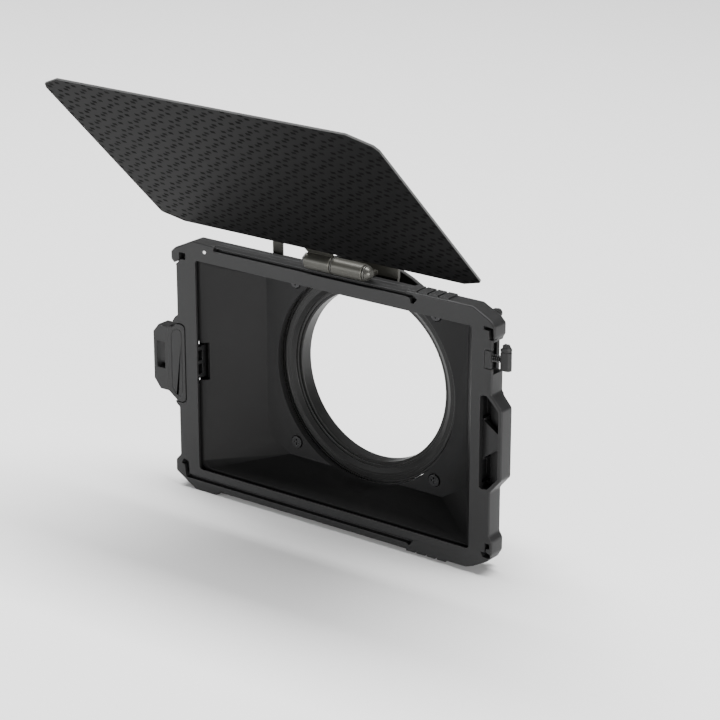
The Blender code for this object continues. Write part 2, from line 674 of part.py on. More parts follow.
def make_push_button(axis):
    """An upright slab with a round outer edge and a stepped top, on a stem inside the spring."""
    low = BUTTON_DEPTH - BUTTON_HALF
    high = BUTTON_DEPTH + BUTTON_HALF
    left = BUTTON_X - 0.0026
    body = box(at(left, low, 0.0309), at(BUTTON_X, high, 0.0386))
    edge = rod(at(BUTTON_X, BUTTON_DEPTH, 0.0309), at(BUTTON_X, BUTTON_DEPTH, 0.0386), BUTTON_HALF, 32)
    neck = box(at(left + 0.0002, low + 0.0003, 0.0380), at(BUTTON_X + 0.0008, high - 0.0003, 0.0392))
    cap = box(at(left, low, 0.0389), at(BUTTON_X, high, 0.0402))
    cap_edge = rod(at(BUTTON_X, BUTTON_DEPTH, 0.0389), at(BUTTON_X, BUTTON_DEPTH, 0.0402),
                   BUTTON_HALF, 32)
    ridge = box(at(left + 0.0006, low + 0.0006, 0.0400), at(BUTTON_X, high - 0.0006, 0.0417))
    peak = rod(at(BUTTON_X, BUTTON_DEPTH, 0.0400), at(BUTTON_X, BUTTON_DEPTH, 0.0419),
               BUTTON_HALF - 0.0001, 32, BUTTON_HALF * 0.4)
    stem = rod(at(0.0793, BUTTON_DEPTH, BUTTON_HEIGHT), at(BUTTON_X, BUTTON_DEPTH, BUTTON_HEIGHT),
               0.0009, 20)
    fuse(body, edge, neck, cap, cap_edge, ridge, peak, stem)
    finish(body, "push_button", POLYMER)
    return ride(body, axis)


def make_button_cover():
    """The small flush cover that closes the button's recess at the front."""
    cover = box(at(0.0784, 0.0000, 0.0320), at(0.0812, 0.0011, 0.0394))
    return finish(cover, "button_cover", POLYMER)


def make_lock_slide(axis):
    """The slide in the bow's window: a tapered grip and a bar kept behind the frame's skin."""
    grip = plate([(0.0753, 0.0092), (0.0849, 0.0030), (0.0849, -0.0031), (0.0828, -0.0035),
                  (0.0753, -0.0086)], 0.0028, 0.0054)
    bar = box(at(0.0751, 0.0032, -0.0086), at(0.0768, 0.0075, 0.0092))
    fuse(grip, bar)
    finish(grip, "lock_slide", POLYMER)
    return ride(grip, axis)


def main():
    lens = -OPENING_Z
    make_front_frame()
    make_hood_shell()
    make_rear_ring()

    for number, (x, height) in enumerate(rear_screw_places(), 1):
        pan_head_screw(f"rear_screw_{number}", at(x, 0.0262 - GAP, height), (0, 1, 0),
                       0.0012, 0.0026, 0.0012, 0.0055)
    corners = [(-1, 1), (1, 1), (1, -1), (-1, -1)]
    for number, (side, level) in enumerate(corners, 1):
        seat = at(side * CORNER_SCREW_X, FLANGE_BACK + GAP, level * CORNER_SCREW_Z)
        pan_head_screw(f"frame_screw_{number}", seat, (0, -1, 0), 0.0012, 0.0018, 0.0010, 0.0070)

    adapter_axis = axis_empty("adapter_axis", at(0, ADAPTER_FLANGE, lens))
    make_adapter_ring(adapter_axis)

    make_bracket()
    make_hinge_base()
    make_hinge_pin()
    for number, x in enumerate(BRACKET_SCREWS, 1):
        seat = at(x, BRACKET_BACK + GAP, BRACKET_SCREW_HEIGHT)
        pan_head_screw(f"bracket_screw_{number}", seat, (0, -1, 0), 0.0011, 0.0019, 0.0008, 0.0040)
    for number, x in enumerate(HINGE_SCREWS, 1):
        seat = at(x, BRACKET_BACK + GAP, HINGE_SCREW_HEIGHT)
        pan_head_screw(f"hinge_screw_{number}", seat, (0, -1, 0), 0.0011, 0.0019, 0.0008, 0.0028)
    hinge = axis_empty("flag_hinge", at(0, HINGE_DEPTH, HINGE_HEIGHT), (-FLAG_TILT, 0, 0))
    make_flag(hinge)

    tab_axis = axis_empty("pull_tab_slide", at(-0.0880, 0.0042, 0))
    make_pull_tab(tab_axis)
    coil_spring("tab_spring", at(-0.0844, 0.0068, 0), 0.0046, 0.0011, 0.0003, 5)

    button_axis = axis_empty("push_button_slide", at(BUTTON_X, BUTTON_DEPTH, BUTTON_HEIGHT))
    make_push_button(button_axis)
    make_button_cover()
    spring_start = at(0.0773, BUTTON_DEPTH, BUTTON_HEIGHT)
    coil_spring("button_spring", spring_start, 0.0059, 0.0014, 0.0003, 6)

    slide_axis = axis_empty("lock_slide_axis", at(0.0800, 0.0046, 0))
    make_lock_slide(slide_axis)


main()
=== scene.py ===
# %% [markdown]
# # A compact matte box
#
# A matte box keeps stray light off a lens. This one has a nylon front frame, a tapering hood
# behind it, a turned ring that turns on the lens adapter, and a thin carbon flag on a friction
# hinge. Almost everything is black, so the shapes only show through their edges and sheen.
# That is why this lesson spends its effort on edge rounding, on grain and on soft light.

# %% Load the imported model
import math

import bmesh
import bpy
from mathutils import Matrix, Vector


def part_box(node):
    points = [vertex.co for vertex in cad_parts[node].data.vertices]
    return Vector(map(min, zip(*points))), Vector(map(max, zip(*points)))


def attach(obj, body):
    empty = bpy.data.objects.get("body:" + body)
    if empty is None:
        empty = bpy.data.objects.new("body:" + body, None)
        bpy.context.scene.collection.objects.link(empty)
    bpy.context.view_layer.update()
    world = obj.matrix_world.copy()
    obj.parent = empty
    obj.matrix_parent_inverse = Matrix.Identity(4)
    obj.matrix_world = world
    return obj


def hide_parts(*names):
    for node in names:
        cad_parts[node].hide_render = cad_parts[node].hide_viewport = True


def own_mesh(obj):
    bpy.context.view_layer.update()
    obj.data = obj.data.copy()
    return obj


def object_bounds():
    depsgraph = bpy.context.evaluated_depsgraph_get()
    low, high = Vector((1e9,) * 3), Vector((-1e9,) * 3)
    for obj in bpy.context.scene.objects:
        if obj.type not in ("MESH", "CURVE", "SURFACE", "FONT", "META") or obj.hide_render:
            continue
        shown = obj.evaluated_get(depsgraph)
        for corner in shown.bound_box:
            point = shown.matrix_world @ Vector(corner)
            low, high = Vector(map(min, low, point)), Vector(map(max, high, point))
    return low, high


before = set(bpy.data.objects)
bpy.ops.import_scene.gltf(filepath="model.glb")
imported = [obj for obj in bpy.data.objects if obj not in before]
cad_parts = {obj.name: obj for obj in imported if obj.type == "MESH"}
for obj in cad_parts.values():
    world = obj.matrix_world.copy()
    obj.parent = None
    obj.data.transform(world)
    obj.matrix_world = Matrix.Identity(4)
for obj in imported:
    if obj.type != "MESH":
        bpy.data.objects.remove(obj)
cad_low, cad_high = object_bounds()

MM = 0.001
print("parts loaded:", len(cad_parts))
print("overall size in mm:", [round(side / MM, 1) for side in cad_high - cad_low])

# %% [markdown]
# ## Camera and studio
#
# The view is a long lens from the front, to the right and a little above. The studio is a pale
# floor that rises behind the object, a dim sky all round, and three soft boxes. The key
# light is to the front right, which is why the hood's left wall is its lightest inside face.
# A light could also be an HDR picture, but plain area lights keep the file self-contained.

# %% Camera
view = bpy.data.cameras.new("view")
view.lens = 127.18
view.sensor_width = 36
view.clip_end = 20
camera = bpy.data.objects.new("camera", view)
camera.location = (0.60943, -0.82276, 0.37356)
camera.rotation_euler = (math.radians(70.285), 0, math.radians(36.93))
bpy.context.scene.collection.objects.link(camera)
bpy.context.scene.camera = camera
print("camera stands", round(camera.location.length, 3), "m from the lens axis")

# %% Soft lights
SOFT_BOXES = [
    ("key_light", (1.50, -0.84, 0.12), (0.8, 0.30), 25, (1.0, 0.99, 0.98)),
    ("fill_light", (-0.95, -1.35, 0.22), (0.8, 0.36), 12, (0.98, 0.99, 1.0)),
    ("top_light", (0.0, 0.06, 1.75), (2.6, 0.5), 105, (1.0, 1.0, 1.0)),
]
for name, place, size, power, colour in SOFT_BOXES:
    lamp = bpy.data.lights.new(name, "AREA")
    lamp.shape = "RECTANGLE"
    lamp.size, lamp.size_y = size
    lamp.energy = power
    lamp.color = colour
    soft_box = bpy.data.objects.new(name, lamp)
    soft_box.location = place
    soft_box.rotation_euler = (-Vector(place)).to_track_quat("-Z", "Y").to_euler()
    bpy.context.scene.collection.objects.link(soft_box)

SKY_STRENGTH = 0.18
sky = bpy.data.worlds.new("studio_sky")
sky.use_nodes = True
sky.node_tree.nodes["Background"].inputs["Color"].default_value = (1, 1, 1, 1)
sky.node_tree.nodes["Background"].inputs["Strength"].default_value = SKY_STRENGTH
bpy.context.scene.world = sky
print("soft boxes:", len(SOFT_BOXES))

# %% [markdown]
# ## Finishes
# Each finish is one node tree. They all read object coordinates, so the grain stays on a piece
# when it moves. Two things happen in most of them. A fine noise gives the grain, as colour,
# roughness and bump. A Bevel node compares the rounded normal with the true one, which finds
# the edges, and those are painted paler: partly wear, because edges rub first, and partly a
# painted highlight, for the thin light lines that rounded edges catch.

# %% Moulded polymer
def moulded_polymer(name, colour, worn_and_highlight_colour, roughness, index, grain_per_metre, grain_depth):
    """Glass-filled nylon: a fine spark-eroded grain, slow mottling, and edges paler from wear and
    a painted highlight.
    """
    finish = bpy.data.materials.new(name)
    finish.use_nodes = True
    nodes = finish.node_tree.nodes
    links = finish.node_tree.links
    nodes.clear()

    place = nodes.new("ShaderNodeTexCoord")
    place.label = "Where on the piece"
    grain = nodes.new("ShaderNodeTexNoise")
    grain.label = "Spark-eroded grain"
    grain.inputs["Scale"].default_value = grain_per_metre
    grain.inputs["Detail"].default_value = 3
    mottle = nodes.new("ShaderNodeTexNoise")
    mottle.label = "Slow mottling of the moulding"
    mottle.inputs["Scale"].default_value = 60
    mottle.inputs["Detail"].default_value = 2

    # Painted highlight: the edges that the Bevel node finds get a paler colour, partly wear and
    # partly a painted highlight line.
    rounded = nodes.new("ShaderNodeBevel")
    rounded.label = "Normal with rounded edges"
    rounded.samples = 6
    rounded.inputs["Radius"].default_value = 0.30 * MM
    true = nodes.new("ShaderNodeNewGeometry")
    true.label = "True normal"
    agree = nodes.new("ShaderNodeVectorMath")
    agree.label = "How far they agree"
    agree.operation = "DOT_PRODUCT"
    edge_wear_and_highlight = nodes.new("ShaderNodeMapRange")
    edge_wear_and_highlight.label = "Edges rubbed pale, with painted highlight"
    edge_wear_and_highlight.inputs["From Min"].default_value = 1.0
    edge_wear_and_highlight.inputs["From Max"].default_value = 0.72

    body_colour = nodes.new("ShaderNodeMix")
    body_colour.label = "Mottled black"
    body_colour.data_type = "RGBA"
    body_colour.inputs[6].default_value = (*[part * 0.86 for part in colour], 1)
    body_colour.inputs[7].default_value = (*[part * 1.14 for part in colour], 1)
    edge_colour = nodes.new("ShaderNodeMix")
    edge_colour.label = "Paler on the edges"
    edge_colour.data_type = "RGBA"
    edge_colour.inputs[7].default_value = (*worn_and_highlight_colour, 1)
    dullness = nodes.new("ShaderNodeMapRange")
    dullness.label = "Grain scatters the sheen"
    dullness.inputs["To Min"].default_value = roughness - 0.07
    dullness.inputs["To Max"].default_value = roughness + 0.07
    relief = nodes.new("ShaderNodeBump")
    relief.label = "Grain in relief"
    relief.inputs["Strength"].default_value = 0.5
    relief.inputs["Distance"].default_value = grain_depth

    shader = nodes.new("ShaderNodeBsdfPrincipled")
    shader.label = "Nylon"
    shader.inputs["IOR"].default_value = index
    output = nodes.new("ShaderNodeOutputMaterial")
    output.label = "Polymer surface"

    groups = [("Places", [place]), ("Grain", [grain, mottle]),
              ("Edge wear and painted highlight", [rounded, true, agree, edge_wear_and_highlight]),
              ("Colour and sheen", [body_colour, edge_colour, dullness, relief]),
              ("Surface", [shader, output])]
    for column, (title, members) in enumerate(groups):
        panel = nodes.new("NodeFrame")
        panel.label = title
        for row, member in enumerate(members):
            member.parent = panel
            member.location = (column * 260, -row * 280)

    links.new(place.outputs["Object"], grain.inputs["Vector"])
    links.new(place.outputs["Object"], mottle.inputs["Vector"])
    links.new(rounded.outputs["Normal"], agree.inputs[0])
    links.new(true.outputs["Normal"], agree.inputs[1])
    links.new(agree.outputs["Value"], edge_wear_and_highlight.inputs["Value"])
    links.new(mottle.outputs["Fac"], body_colour.inputs["Factor"])
    links.new(body_colour.outputs[2], edge_colour.inputs[6])
    links.new(edge_wear_and_highlight.outputs["Result"], edge_colour.inputs["Factor"])
    links.new(grain.outputs["Fac"], dullness.inputs["Value"])
    links.new(grain.outputs["Fac"], relief.inputs["Height"])
    links.new(edge_colour.outputs[2], shader.inputs["Base Color"])
    links.new(dullness.outputs["Result"], shader.inputs["Roughness"])
    links.new(relief.outputs["Normal"], shader.inputs["Normal"])
    links.new(shader.outputs["BSDF"], output.inputs["Surface"])
    return finish


# The second colour of each polymer is its edge colour: partly wear, partly a painted highlight.
frame_polymer = moulded_polymer(
    "frame_polymer", (0.0095, 0.0095, 0.0097), (0.060, 0.060, 0.061), 0.48, 1.34, 3600, 0.030 * MM)
hood_polymer = moulded_polymer(
    "hood_polymer", (0.012, 0.012, 0.0122), (0.030, 0.030, 0.031), 0.56, 1.25, 4200, 0.025 * MM)
washer_polymer = moulded_polymer(
    "washer_polymer", (0.040, 0.039, 0.036), (0.10, 0.10, 0.09), 0.45, 1.4, 2500, 0.010 * MM)
print("polymer finishes:", frame_polymer.name, hood_polymer.name, washer_polymer.name)


# %% Turned and anodised aluminium
def anodised_aluminium(name, colour, oxide_and_highlight_colour, metal, roughness, across, lines_per_metre):
    """Turned aluminium: fine tool lines that follow the turning, under a coloured oxide."""
    finish = bpy.data.materials.new(name)
    finish.use_nodes = True
    nodes = finish.node_tree.nodes
    links = finish.node_tree.links
    nodes.clear()

    place = nodes.new("ShaderNodeTexCoord")
    place.label = "Where on the piece"
    keep = nodes.new("ShaderNodeVectorMath")
    keep.label = "Only across the tool's path"
    keep.operation = "MULTIPLY"
    keep.inputs[1].default_value = across
    distance = nodes.new("ShaderNodeVectorMath")
    distance.label = "Distance from the turning axis"
    distance.operation = "LENGTH"
    lines = nodes.new("ShaderNodeTexNoise")
    lines.label = "Tool lines"
    lines.noise_dimensions = "1D"
    lines.inputs["Scale"].default_value = lines_per_metre
    lines.inputs["Detail"].default_value = 4
    bloom = nodes.new("ShaderNodeTexNoise")
    bloom.label = "Uneven oxide"
    bloom.inputs["Scale"].default_value = 140
    bloom.inputs["Detail"].default_value = 3

    # Painted highlight: the edges that the Bevel node finds get a brighter colour, partly metal
    # under thin oxide and partly a painted highlight line.
    rounded = nodes.new("ShaderNodeBevel")
    rounded.label = "Normal with rounded edges"
    rounded.samples = 6
    rounded.inputs["Radius"].default_value = 0.25 * MM
    true = nodes.new("ShaderNodeNewGeometry")
    true.label = "True normal"
    agree = nodes.new("ShaderNodeVectorMath")
    agree.label = "How far they agree"
    agree.operation = "DOT_PRODUCT"
    edge_wear_and_highlight = nodes.new("ShaderNodeMapRange")
    edge_wear_and_highlight.label = "Machined edges, with painted highlight"
    edge_wear_and_highlight.inputs["From Min"].default_value = 1.0
    edge_wear_and_highlight.inputs["From Max"].default_value = 0.75

    oxide = nodes.new("ShaderNodeMix")
    oxide.label = "Oxide colour"
    oxide.data_type = "RGBA"
    oxide.inputs[6].default_value = (*[part * 0.8 for part in colour], 1)
    oxide.inputs[7].default_value = (*[part * 1.2 for part in colour], 1)
    edge_colour = nodes.new("ShaderNodeMix")
    edge_colour.label = "Thin oxide and painted highlight on the edges"
    edge_colour.data_type = "RGBA"
    edge_colour.inputs[7].default_value = (*oxide_and_highlight_colour, 1)
    sheen = nodes.new("ShaderNodeMapRange")
    sheen.label = "Lines vary the sheen"
    sheen.inputs["To Min"].default_value = roughness - 0.06
    sheen.inputs["To Max"].default_value = roughness + 0.08
    relief = nodes.new("ShaderNodeBump")
    relief.label = "Lines in relief"
    relief.inputs["Strength"].default_value = 0.35
    relief.inputs["Distance"].default_value = 0.008 * MM

    shader = nodes.new("ShaderNodeBsdfPrincipled")
    shader.label = "Anodised aluminium"
    shader.inputs["Metallic"].default_value = metal
    output = nodes.new("ShaderNodeOutputMaterial")
    output.label = "Anodised surface"

    groups = [("Turning axis", [place, keep, distance]), ("Tool lines and oxide", [lines, bloom]),
              ("Edges", [rounded, true, agree, edge_wear_and_highlight]),
              ("Colour and sheen", [oxide, edge_colour, sheen, relief]),
              ("Surface", [shader, output])]
    for column, (title, members) in enumerate(groups):
        panel = nodes.new("NodeFrame")
        panel.label = title
        for row, member in enumerate(members):
            member.parent = panel
            member.location = (column * 260, -row * 280)

    links.new(place.outputs["Object"], keep.inputs[0])
    links.new(keep.outputs["Vector"], distance.inputs[0])
    links.new(distance.outputs["Value"], lines.inputs["W"])
    links.new(place.outputs["Object"], bloom.inputs["Vector"])
    links.new(rounded.outputs["Normal"], agree.inputs[0])
    links.new(true.outputs["Normal"], agree.inputs[1])
    links.new(agree.outputs["Value"], edge_wear_and_highlight.inputs["Value"])
    links.new(bloom.outputs["Fac"], oxide.inputs["Factor"])
    links.new(oxide.outputs[2], edge_colour.inputs[6])
    links.new(edge_wear_and_highlight.outputs["Result"], edge_colour.inputs["Factor"])
    links.new(lines.outputs["Fac"], sheen.inputs["Value"])
    links.new(lines.outputs["Fac"], relief.inputs["Height"])
    links.new(edge_colour.outputs[2], shader.inputs["Base Color"])
    links.new(sheen.outputs["Result"], shader.inputs["Roughness"])
    links.new(relief.outputs["Normal"], shader.inputs["Normal"])
    links.new(shader.outputs["BSDF"], output.inputs["Surface"])
    return finish


AROUND_LENS = (1, 0, 1)
ALONG_HINGE = (1, 0, 0)
# The third colour of each metal is its edge colour: partly thin oxide, partly a painted highlight.
black_anodised = anodised_aluminium(
    "black_anodised", (0.014, 0.014, 0.0138), (0.060, 0.060, 0.058), 0.6, 0.42, AROUND_LENS, 4200)
bronze_anodised = anodised_aluminium(
    "bronze_anodised", (0.040, 0.039, 0.033), (0.13, 0.125, 0.11), 0.55, 0.40, ALONG_HINGE, 5200)
dark_steel = anodised_aluminium(
    "dark_steel", (0.030, 0.030, 0.031), (0.10, 0.10, 0.10), 0.8, 0.38, AROUND_LENS, 6000)
cap_steel = anodised_aluminium(
    "cap_steel", (0.060, 0.059, 0.053), (0.20, 0.195, 0.18), 0.7, 0.36, ALONG_HINGE, 5200)
spring_steel = anodised_aluminium(
    "spring_steel", (0.055, 0.055, 0.055), (0.10, 0.10, 0.10), 0.9, 0.30, ALONG_HINGE, 7000)
print("metal finishes:", black_anodised.name, bronze_anodised.name, dark_steel.name)

# %% [markdown]
# ## The carbon weave
#
# The flag is a carbon laminate in a four-harness satin, where each bundle passes over three
# others and under the fourth. The crossings show as short dark dashes. From row to row they
# step by one, three, two and no quarters of the repeat, so no straight diagonal forms. A
# picture of a weave would be simpler, but this order is easy to write as arithmetic: twice the
# remainder of the row by two, plus one in the upper half of every four rows.

# %% Carbon laminate
FLAG_TILT = math.radians(45)
REPEAT = 8.75 * MM
ROW_PITCH = 2.0 * MM


def carbon_laminate():
    finish = bpy.data.materials.new("carbon_laminate")
    finish.use_nodes = True
    nodes = finish.node_tree.nodes
    links = finish.node_tree.links
    nodes.clear()

    place = nodes.new("ShaderNodeTexCoord")
    place.label = "Where on the plate"
    flat = nodes.new("ShaderNodeMapping")
    flat.label = "Lay the plate flat"
    flat.inputs["Rotation"].default_value = (FLAG_TILT, 0, 0)
    axes = nodes.new("ShaderNodeSeparateXYZ")
    axes.label = "Across and along"

    rows = nodes.new("ShaderNodeMath")
    rows.label = "Rows along the plate"
    rows.operation = "DIVIDE"
    rows.inputs[1].default_value = -ROW_PITCH
    row = nodes.new("ShaderNodeMath")
    row.label = "Row number"
    row.operation = "FLOOR"
    in_row = nodes.new("ShaderNodeMath")
    in_row.label = "Place in the row"
    in_row.operation = "FRACT"
    of_two = nodes.new("ShaderNodeMath")
    of_two.label = "Row's remainder by two"
    of_two.operation = "FLOORED_MODULO"
    of_two.inputs[1].default_value = 2
    of_four = nodes.new("ShaderNodeMath")
    of_four.label = "Row's remainder by four"
    of_four.operation = "FLOORED_MODULO"
    of_four.inputs[1].default_value = 4
    upper = nodes.new("ShaderNodeMath")
    upper.label = "Upper half of the four"
    upper.operation = "GREATER_THAN"
    upper.inputs[1].default_value = 1.5
    quarters = nodes.new("ShaderNodeMath")
    quarters.label = "Quarters to step"
    quarters.operation = "MULTIPLY_ADD"
    quarters.inputs[1].default_value = 2
    step = nodes.new("ShaderNodeMath")
    step.label = "Step against the repeat"
    step.operation = "MULTIPLY_ADD"
    step.inputs[1].default_value = -0.25
    step.inputs[2].default_value = 0.25
    columns = nodes.new("ShaderNodeMath")
    columns.label = "Repeats across the plate"
    columns.operation = "DIVIDE"
    columns.inputs[1].default_value = REPEAT
    stepped = nodes.new("ShaderNodeMath")
    stepped.label = "Stepped dashes"
    stepped.operation = "ADD"
    dash = nodes.new("ShaderNodeMath")
    dash.label = "Dash number"
    dash.operation = "FLOOR"
    in_dash = nodes.new("ShaderNodeMath")
    in_dash.label = "Place in the repeat"
    in_dash.operation = "FRACT"

    row_centre = nodes.new("ShaderNodeMath")
    row_centre.label = "From the row's middle"
    row_centre.operation = "SUBTRACT"
    row_centre.inputs[1].default_value = 0.5
    row_reach = nodes.new("ShaderNodeMath")
    row_reach.label = "Distance from it"
    row_reach.operation = "ABSOLUTE"
    row_mask = nodes.new("ShaderNodeMapRange")
    row_mask.label = "Dash thickness"
    row_mask.interpolation_type = "SMOOTHSTEP"
    row_mask.inputs["From Min"].default_value = 0.46
    row_mask.inputs["From Max"].default_value = 0.32
    dash_centre = nodes.new("ShaderNodeMath")
    dash_centre.label = "From the dash's middle"
    dash_centre.operation = "SUBTRACT"
    dash_centre.inputs[1].default_value = 0.5
    dash_reach = nodes.new("ShaderNodeMath")
    dash_reach.label = "Distance from it"
    dash_reach.operation = "ABSOLUTE"
    dash_mask = nodes.new("ShaderNodeMapRange")
    dash_mask.label = "Dash length"
    dash_mask.interpolation_type = "SMOOTHSTEP"
    dash_mask.inputs["From Min"].default_value = 0.155
    dash_mask.inputs["From Max"].default_value = 0.105

    pair = nodes.new("ShaderNodeCombineXYZ")
    pair.label = "Which dash"
    chance = nodes.new("ShaderNodeTexWhiteNoise")
    chance.label = "Each bundle differs"
    chance.noise_dimensions = "2D"
    strength = nodes.new("ShaderNodeMapRange")
    strength.label = "How dark each dash is"
    strength.inputs["To Min"].default_value = 0.70
    strength.inputs["To Max"].default_value = 1.0

    shape = nodes.new("ShaderNodeMath")
    shape.label = "Dash shape"
    shape.operation = "MULTIPLY"
    weave = nodes.new("ShaderNodeMath")
    weave.label = "Finished weave"
    weave.operation = "MULTIPLY"
    fibre = nodes.new("ShaderNodeTexNoise")
    fibre.label = "Fine matt resin"
    fibre.inputs["Scale"].default_value = 2600
    fibre.inputs["Detail"].default_value = 3

    base = nodes.new("ShaderNodeMix")
    base.label = "Resin face"
    base.data_type = "RGBA"
    base.inputs[6].default_value = (0.0024, 0.0024, 0.0025, 1)
    base.inputs[7].default_value = (0.0042, 0.0042, 0.0043, 1)
    colour = nodes.new("ShaderNodeMix")
    colour.label = "Dark bundles"
    colour.data_type = "RGBA"
    colour.inputs[7].default_value = (0.0004, 0.0004, 0.0004, 1)
    gloss = nodes.new("ShaderNodeMapRange")
    gloss.label = "Bundles are duller"
    gloss.inputs["To Min"].default_value = 0.50
    gloss.inputs["To Max"].default_value = 0.78
    relief = nodes.new("ShaderNodeBump")
    relief.label = "Bundles sink in"
    relief.invert = True
    relief.inputs["Strength"].default_value = 0.5
    relief.inputs["Distance"].default_value = 0.04 * MM

    shader = nodes.new("ShaderNodeBsdfPrincipled")
    shader.label = "Carbon laminate"
    shader.inputs["IOR"].default_value = 1.10
    output = nodes.new("ShaderNodeOutputMaterial")
    output.label = "Flag surface"

    groups = [("Flat plate", [place, flat, axes]), ("Rows", [rows, row, in_row]),
              ("Satin order", [of_two, of_four, upper, quarters, step]),
              ("Dashes", [columns, stepped, dash, in_dash]),
              ("Dash outline", [row_centre, row_reach, row_mask, dash_centre, dash_reach,
                                dash_mask]),
              ("Bundles differ", [pair, chance, strength]), ("Weave", [shape, weave, fibre]),
              ("Colour and gloss", [base, colour, gloss, relief]), ("Surface", [shader, output])]
    for column, (title, members) in enumerate(groups):
        panel = nodes.new("NodeFrame")
        panel.label = title
        for line, member in enumerate(members):
            member.parent = panel
            member.location = (column * 240, -line * 240)

    links.new(place.outputs["Object"], flat.inputs["Vector"])
    links.new(flat.outputs["Vector"], axes.inputs["Vector"])
    links.new(axes.outputs["Y"], rows.inputs[0])
    links.new(rows.outputs["Value"], row.inputs[0])
    links.new(rows.outputs["Value"], in_row.inputs[0])
    links.new(row.outputs["Value"], of_two.inputs[0])
    links.new(row.outputs["Value"], of_four.inputs[0])
    links.new(of_four.outputs["Value"], upper.inputs[0])
    links.new(of_two.outputs["Value"], quarters.inputs[0])
    links.new(upper.outputs["Value"], quarters.inputs[2])
    links.new(quarters.outputs["Value"], step.inputs[0])
    links.new(axes.outputs["X"], columns.inputs[0])
    links.new(columns.outputs["Value"], stepped.inputs[0])
    links.new(step.outputs["Value"], stepped.inputs[1])
    links.new(stepped.outputs["Value"], dash.inputs[0])
    links.new(stepped.outputs["Value"], in_dash.inputs[0])
    links.new(in_row.outputs["Value"], row_centre.inputs[0])
    links.new(row_centre.outputs["Value"], row_reach.inputs[0])
    links.new(row_reach.outputs["Value"], row_mask.inputs["Value"])
    links.new(in_dash.outputs["Value"], dash_centre.inputs[0])
    links.new(dash_centre.outputs["Value"], dash_reach.inputs[0])
    links.new(dash_reach.outputs["Value"], dash_mask.inputs["Value"])
    links.new(dash.outputs["Value"], pair.inputs["X"])
    links.new(row.outputs["Value"], pair.inputs["Y"])
    links.new(pair.outputs["Vector"], chance.inputs["Vector"])
    links.new(chance.outputs["Value"], strength.inputs["Value"])
    links.new(row_mask.outputs["Result"], shape.inputs[0])
    links.new(dash_mask.outputs["Result"], shape.inputs[1])
    links.new(shape.outputs["Value"], weave.inputs[0])
    links.new(strength.outputs["Result"], weave.inputs[1])
    links.new(place.outputs["Object"], fibre.inputs["Vector"])
    links.new(fibre.outputs["Fac"], base.inputs["Factor"])
    links.new(base.outputs[2], colour.inputs[6])
    links.new(weave.outputs["Value"], colour.inputs["Factor"])
    links.new(weave.outputs["Value"], gloss.inputs["Value"])
    links.new(weave.outputs["Value"], relief.inputs["Height"])
    links.new(colour.outputs[2], shader.inputs["Base Color"])
    links.new(gloss.outputs["Result"], shader.inputs["Roughness"])
    links.new(relief.outputs["Normal"], shader.inputs["Normal"])
    links.new(shader.outputs["BSDF"], output.inputs["Surface"])
    return finish


flag_face = carbon_laminate()
# Here too the second colour is the edge colour: partly wear, partly a painted highlight.
flag_cut_edge = moulded_polymer(
    "flag_cut_edge", (0.05, 0.05, 0.05), (0.10, 0.10, 0.10), 0.45, 1.4, 5000, 0.010 * MM)
white_paint = moulded_polymer(
    "white_paint", (0.80, 0.80, 0.79), (0.84, 0.84, 0.83), 0.45, 1.5, 3000, 0.010 * MM)
print("weave repeat in mm:", round(REPEAT / MM, 2), "by", round(4 * ROW_PITCH / MM, 1))

# %% [markdown]
# ## Rounding the edges of a CAD part
#
# The CAD parts have the right shape but knife-sharp edges, and a black object with sharp edges
# looks like a paper cut-out. Each visible part is copied, its loose triangles are welded and its
# flat faces are joined. Joined faces of many corners are then split into triangles again. A
# Bevel modifier rounds every sharp edge by a tenth or two of a millimetre. Grooves and notches
# too small for the CAD are cut before that, with a Boolean.

# %% Tools for finishing a part
WELD = 0.002 * MM
FLAT = math.radians(0.6)
CREASE = math.radians(32)
SHARP = math.radians(50)


def plain_mesh(piece):
    """Turns a piece with modifiers into a plain mesh."""
    ready = piece.evaluated_get(bpy.context.evaluated_depsgraph_get())
    shape = bpy.data.meshes.new_from_object(ready)
    piece.modifiers.clear()
    piece.data = shape
    return piece


def smooth(piece):
    """Shades every face smoothly."""
    for face in piece.data.polygons:
        face.use_smooth = True


def new_piece(name, form):
    """An object at the origin from a bmesh, which is freed."""
    shape = bpy.data.meshes.new(name)
    form.to_mesh(shape)
    form.free()
    piece = bpy.data.objects.new(name, shape)
    bpy.context.scene.collection.objects.link(piece)
    return piece


def welded_copy(node, name):
    """A copy of a CAD part, welded, with only the edges that its flat faces need."""
    form = bmesh.new()
    form.from_mesh(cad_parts[node].data)
    bmesh.ops.remove_doubles(form, verts=form.verts, dist=WELD)
    bmesh.ops.dissolve_limit(form, angle_limit=FLAT, verts=form.verts, edges=form.edges)
    # A face of many corners can be concave and shade black once its edges are rounded.
    bmesh.ops.triangulate(form, faces=[face for face in form.faces if len(face.verts) > 4])
    return new_piece(name, form)


def carve(piece, cutters):
    """Cuts small details, then removes the tools that cut them."""
    for cutter in cutters:
        step = piece.modifiers.new("carve", "BOOLEAN")
        step.operation = "DIFFERENCE"
        step.solver = "EXACT"
        step.object = cutter
    plain_mesh(piece)
    for cutter in cutters:
        bpy.data.objects.remove(cutter)
    return piece


def round_edges(piece, width, segments=2):
    """Rounds the sharp edges and shades the rest smoothly."""
    rounding = piece.modifiers.new("rounding", "BEVEL")
    rounding.width = width
    rounding.segments = segments
    rounding.limit_method = "ANGLE"
    rounding.angle_limit = SHARP
    rounding.use_clamp_overlap = False
    rounding.harden_normals = False
    plain_mesh(piece)
    smooth(piece)
    piece.data.set_sharp_from_angle(angle=CREASE)
    shading = piece.modifiers.new("shading", "WEIGHTED_NORMAL")
    shading.keep_sharp = True
    return plain_mesh(piece)


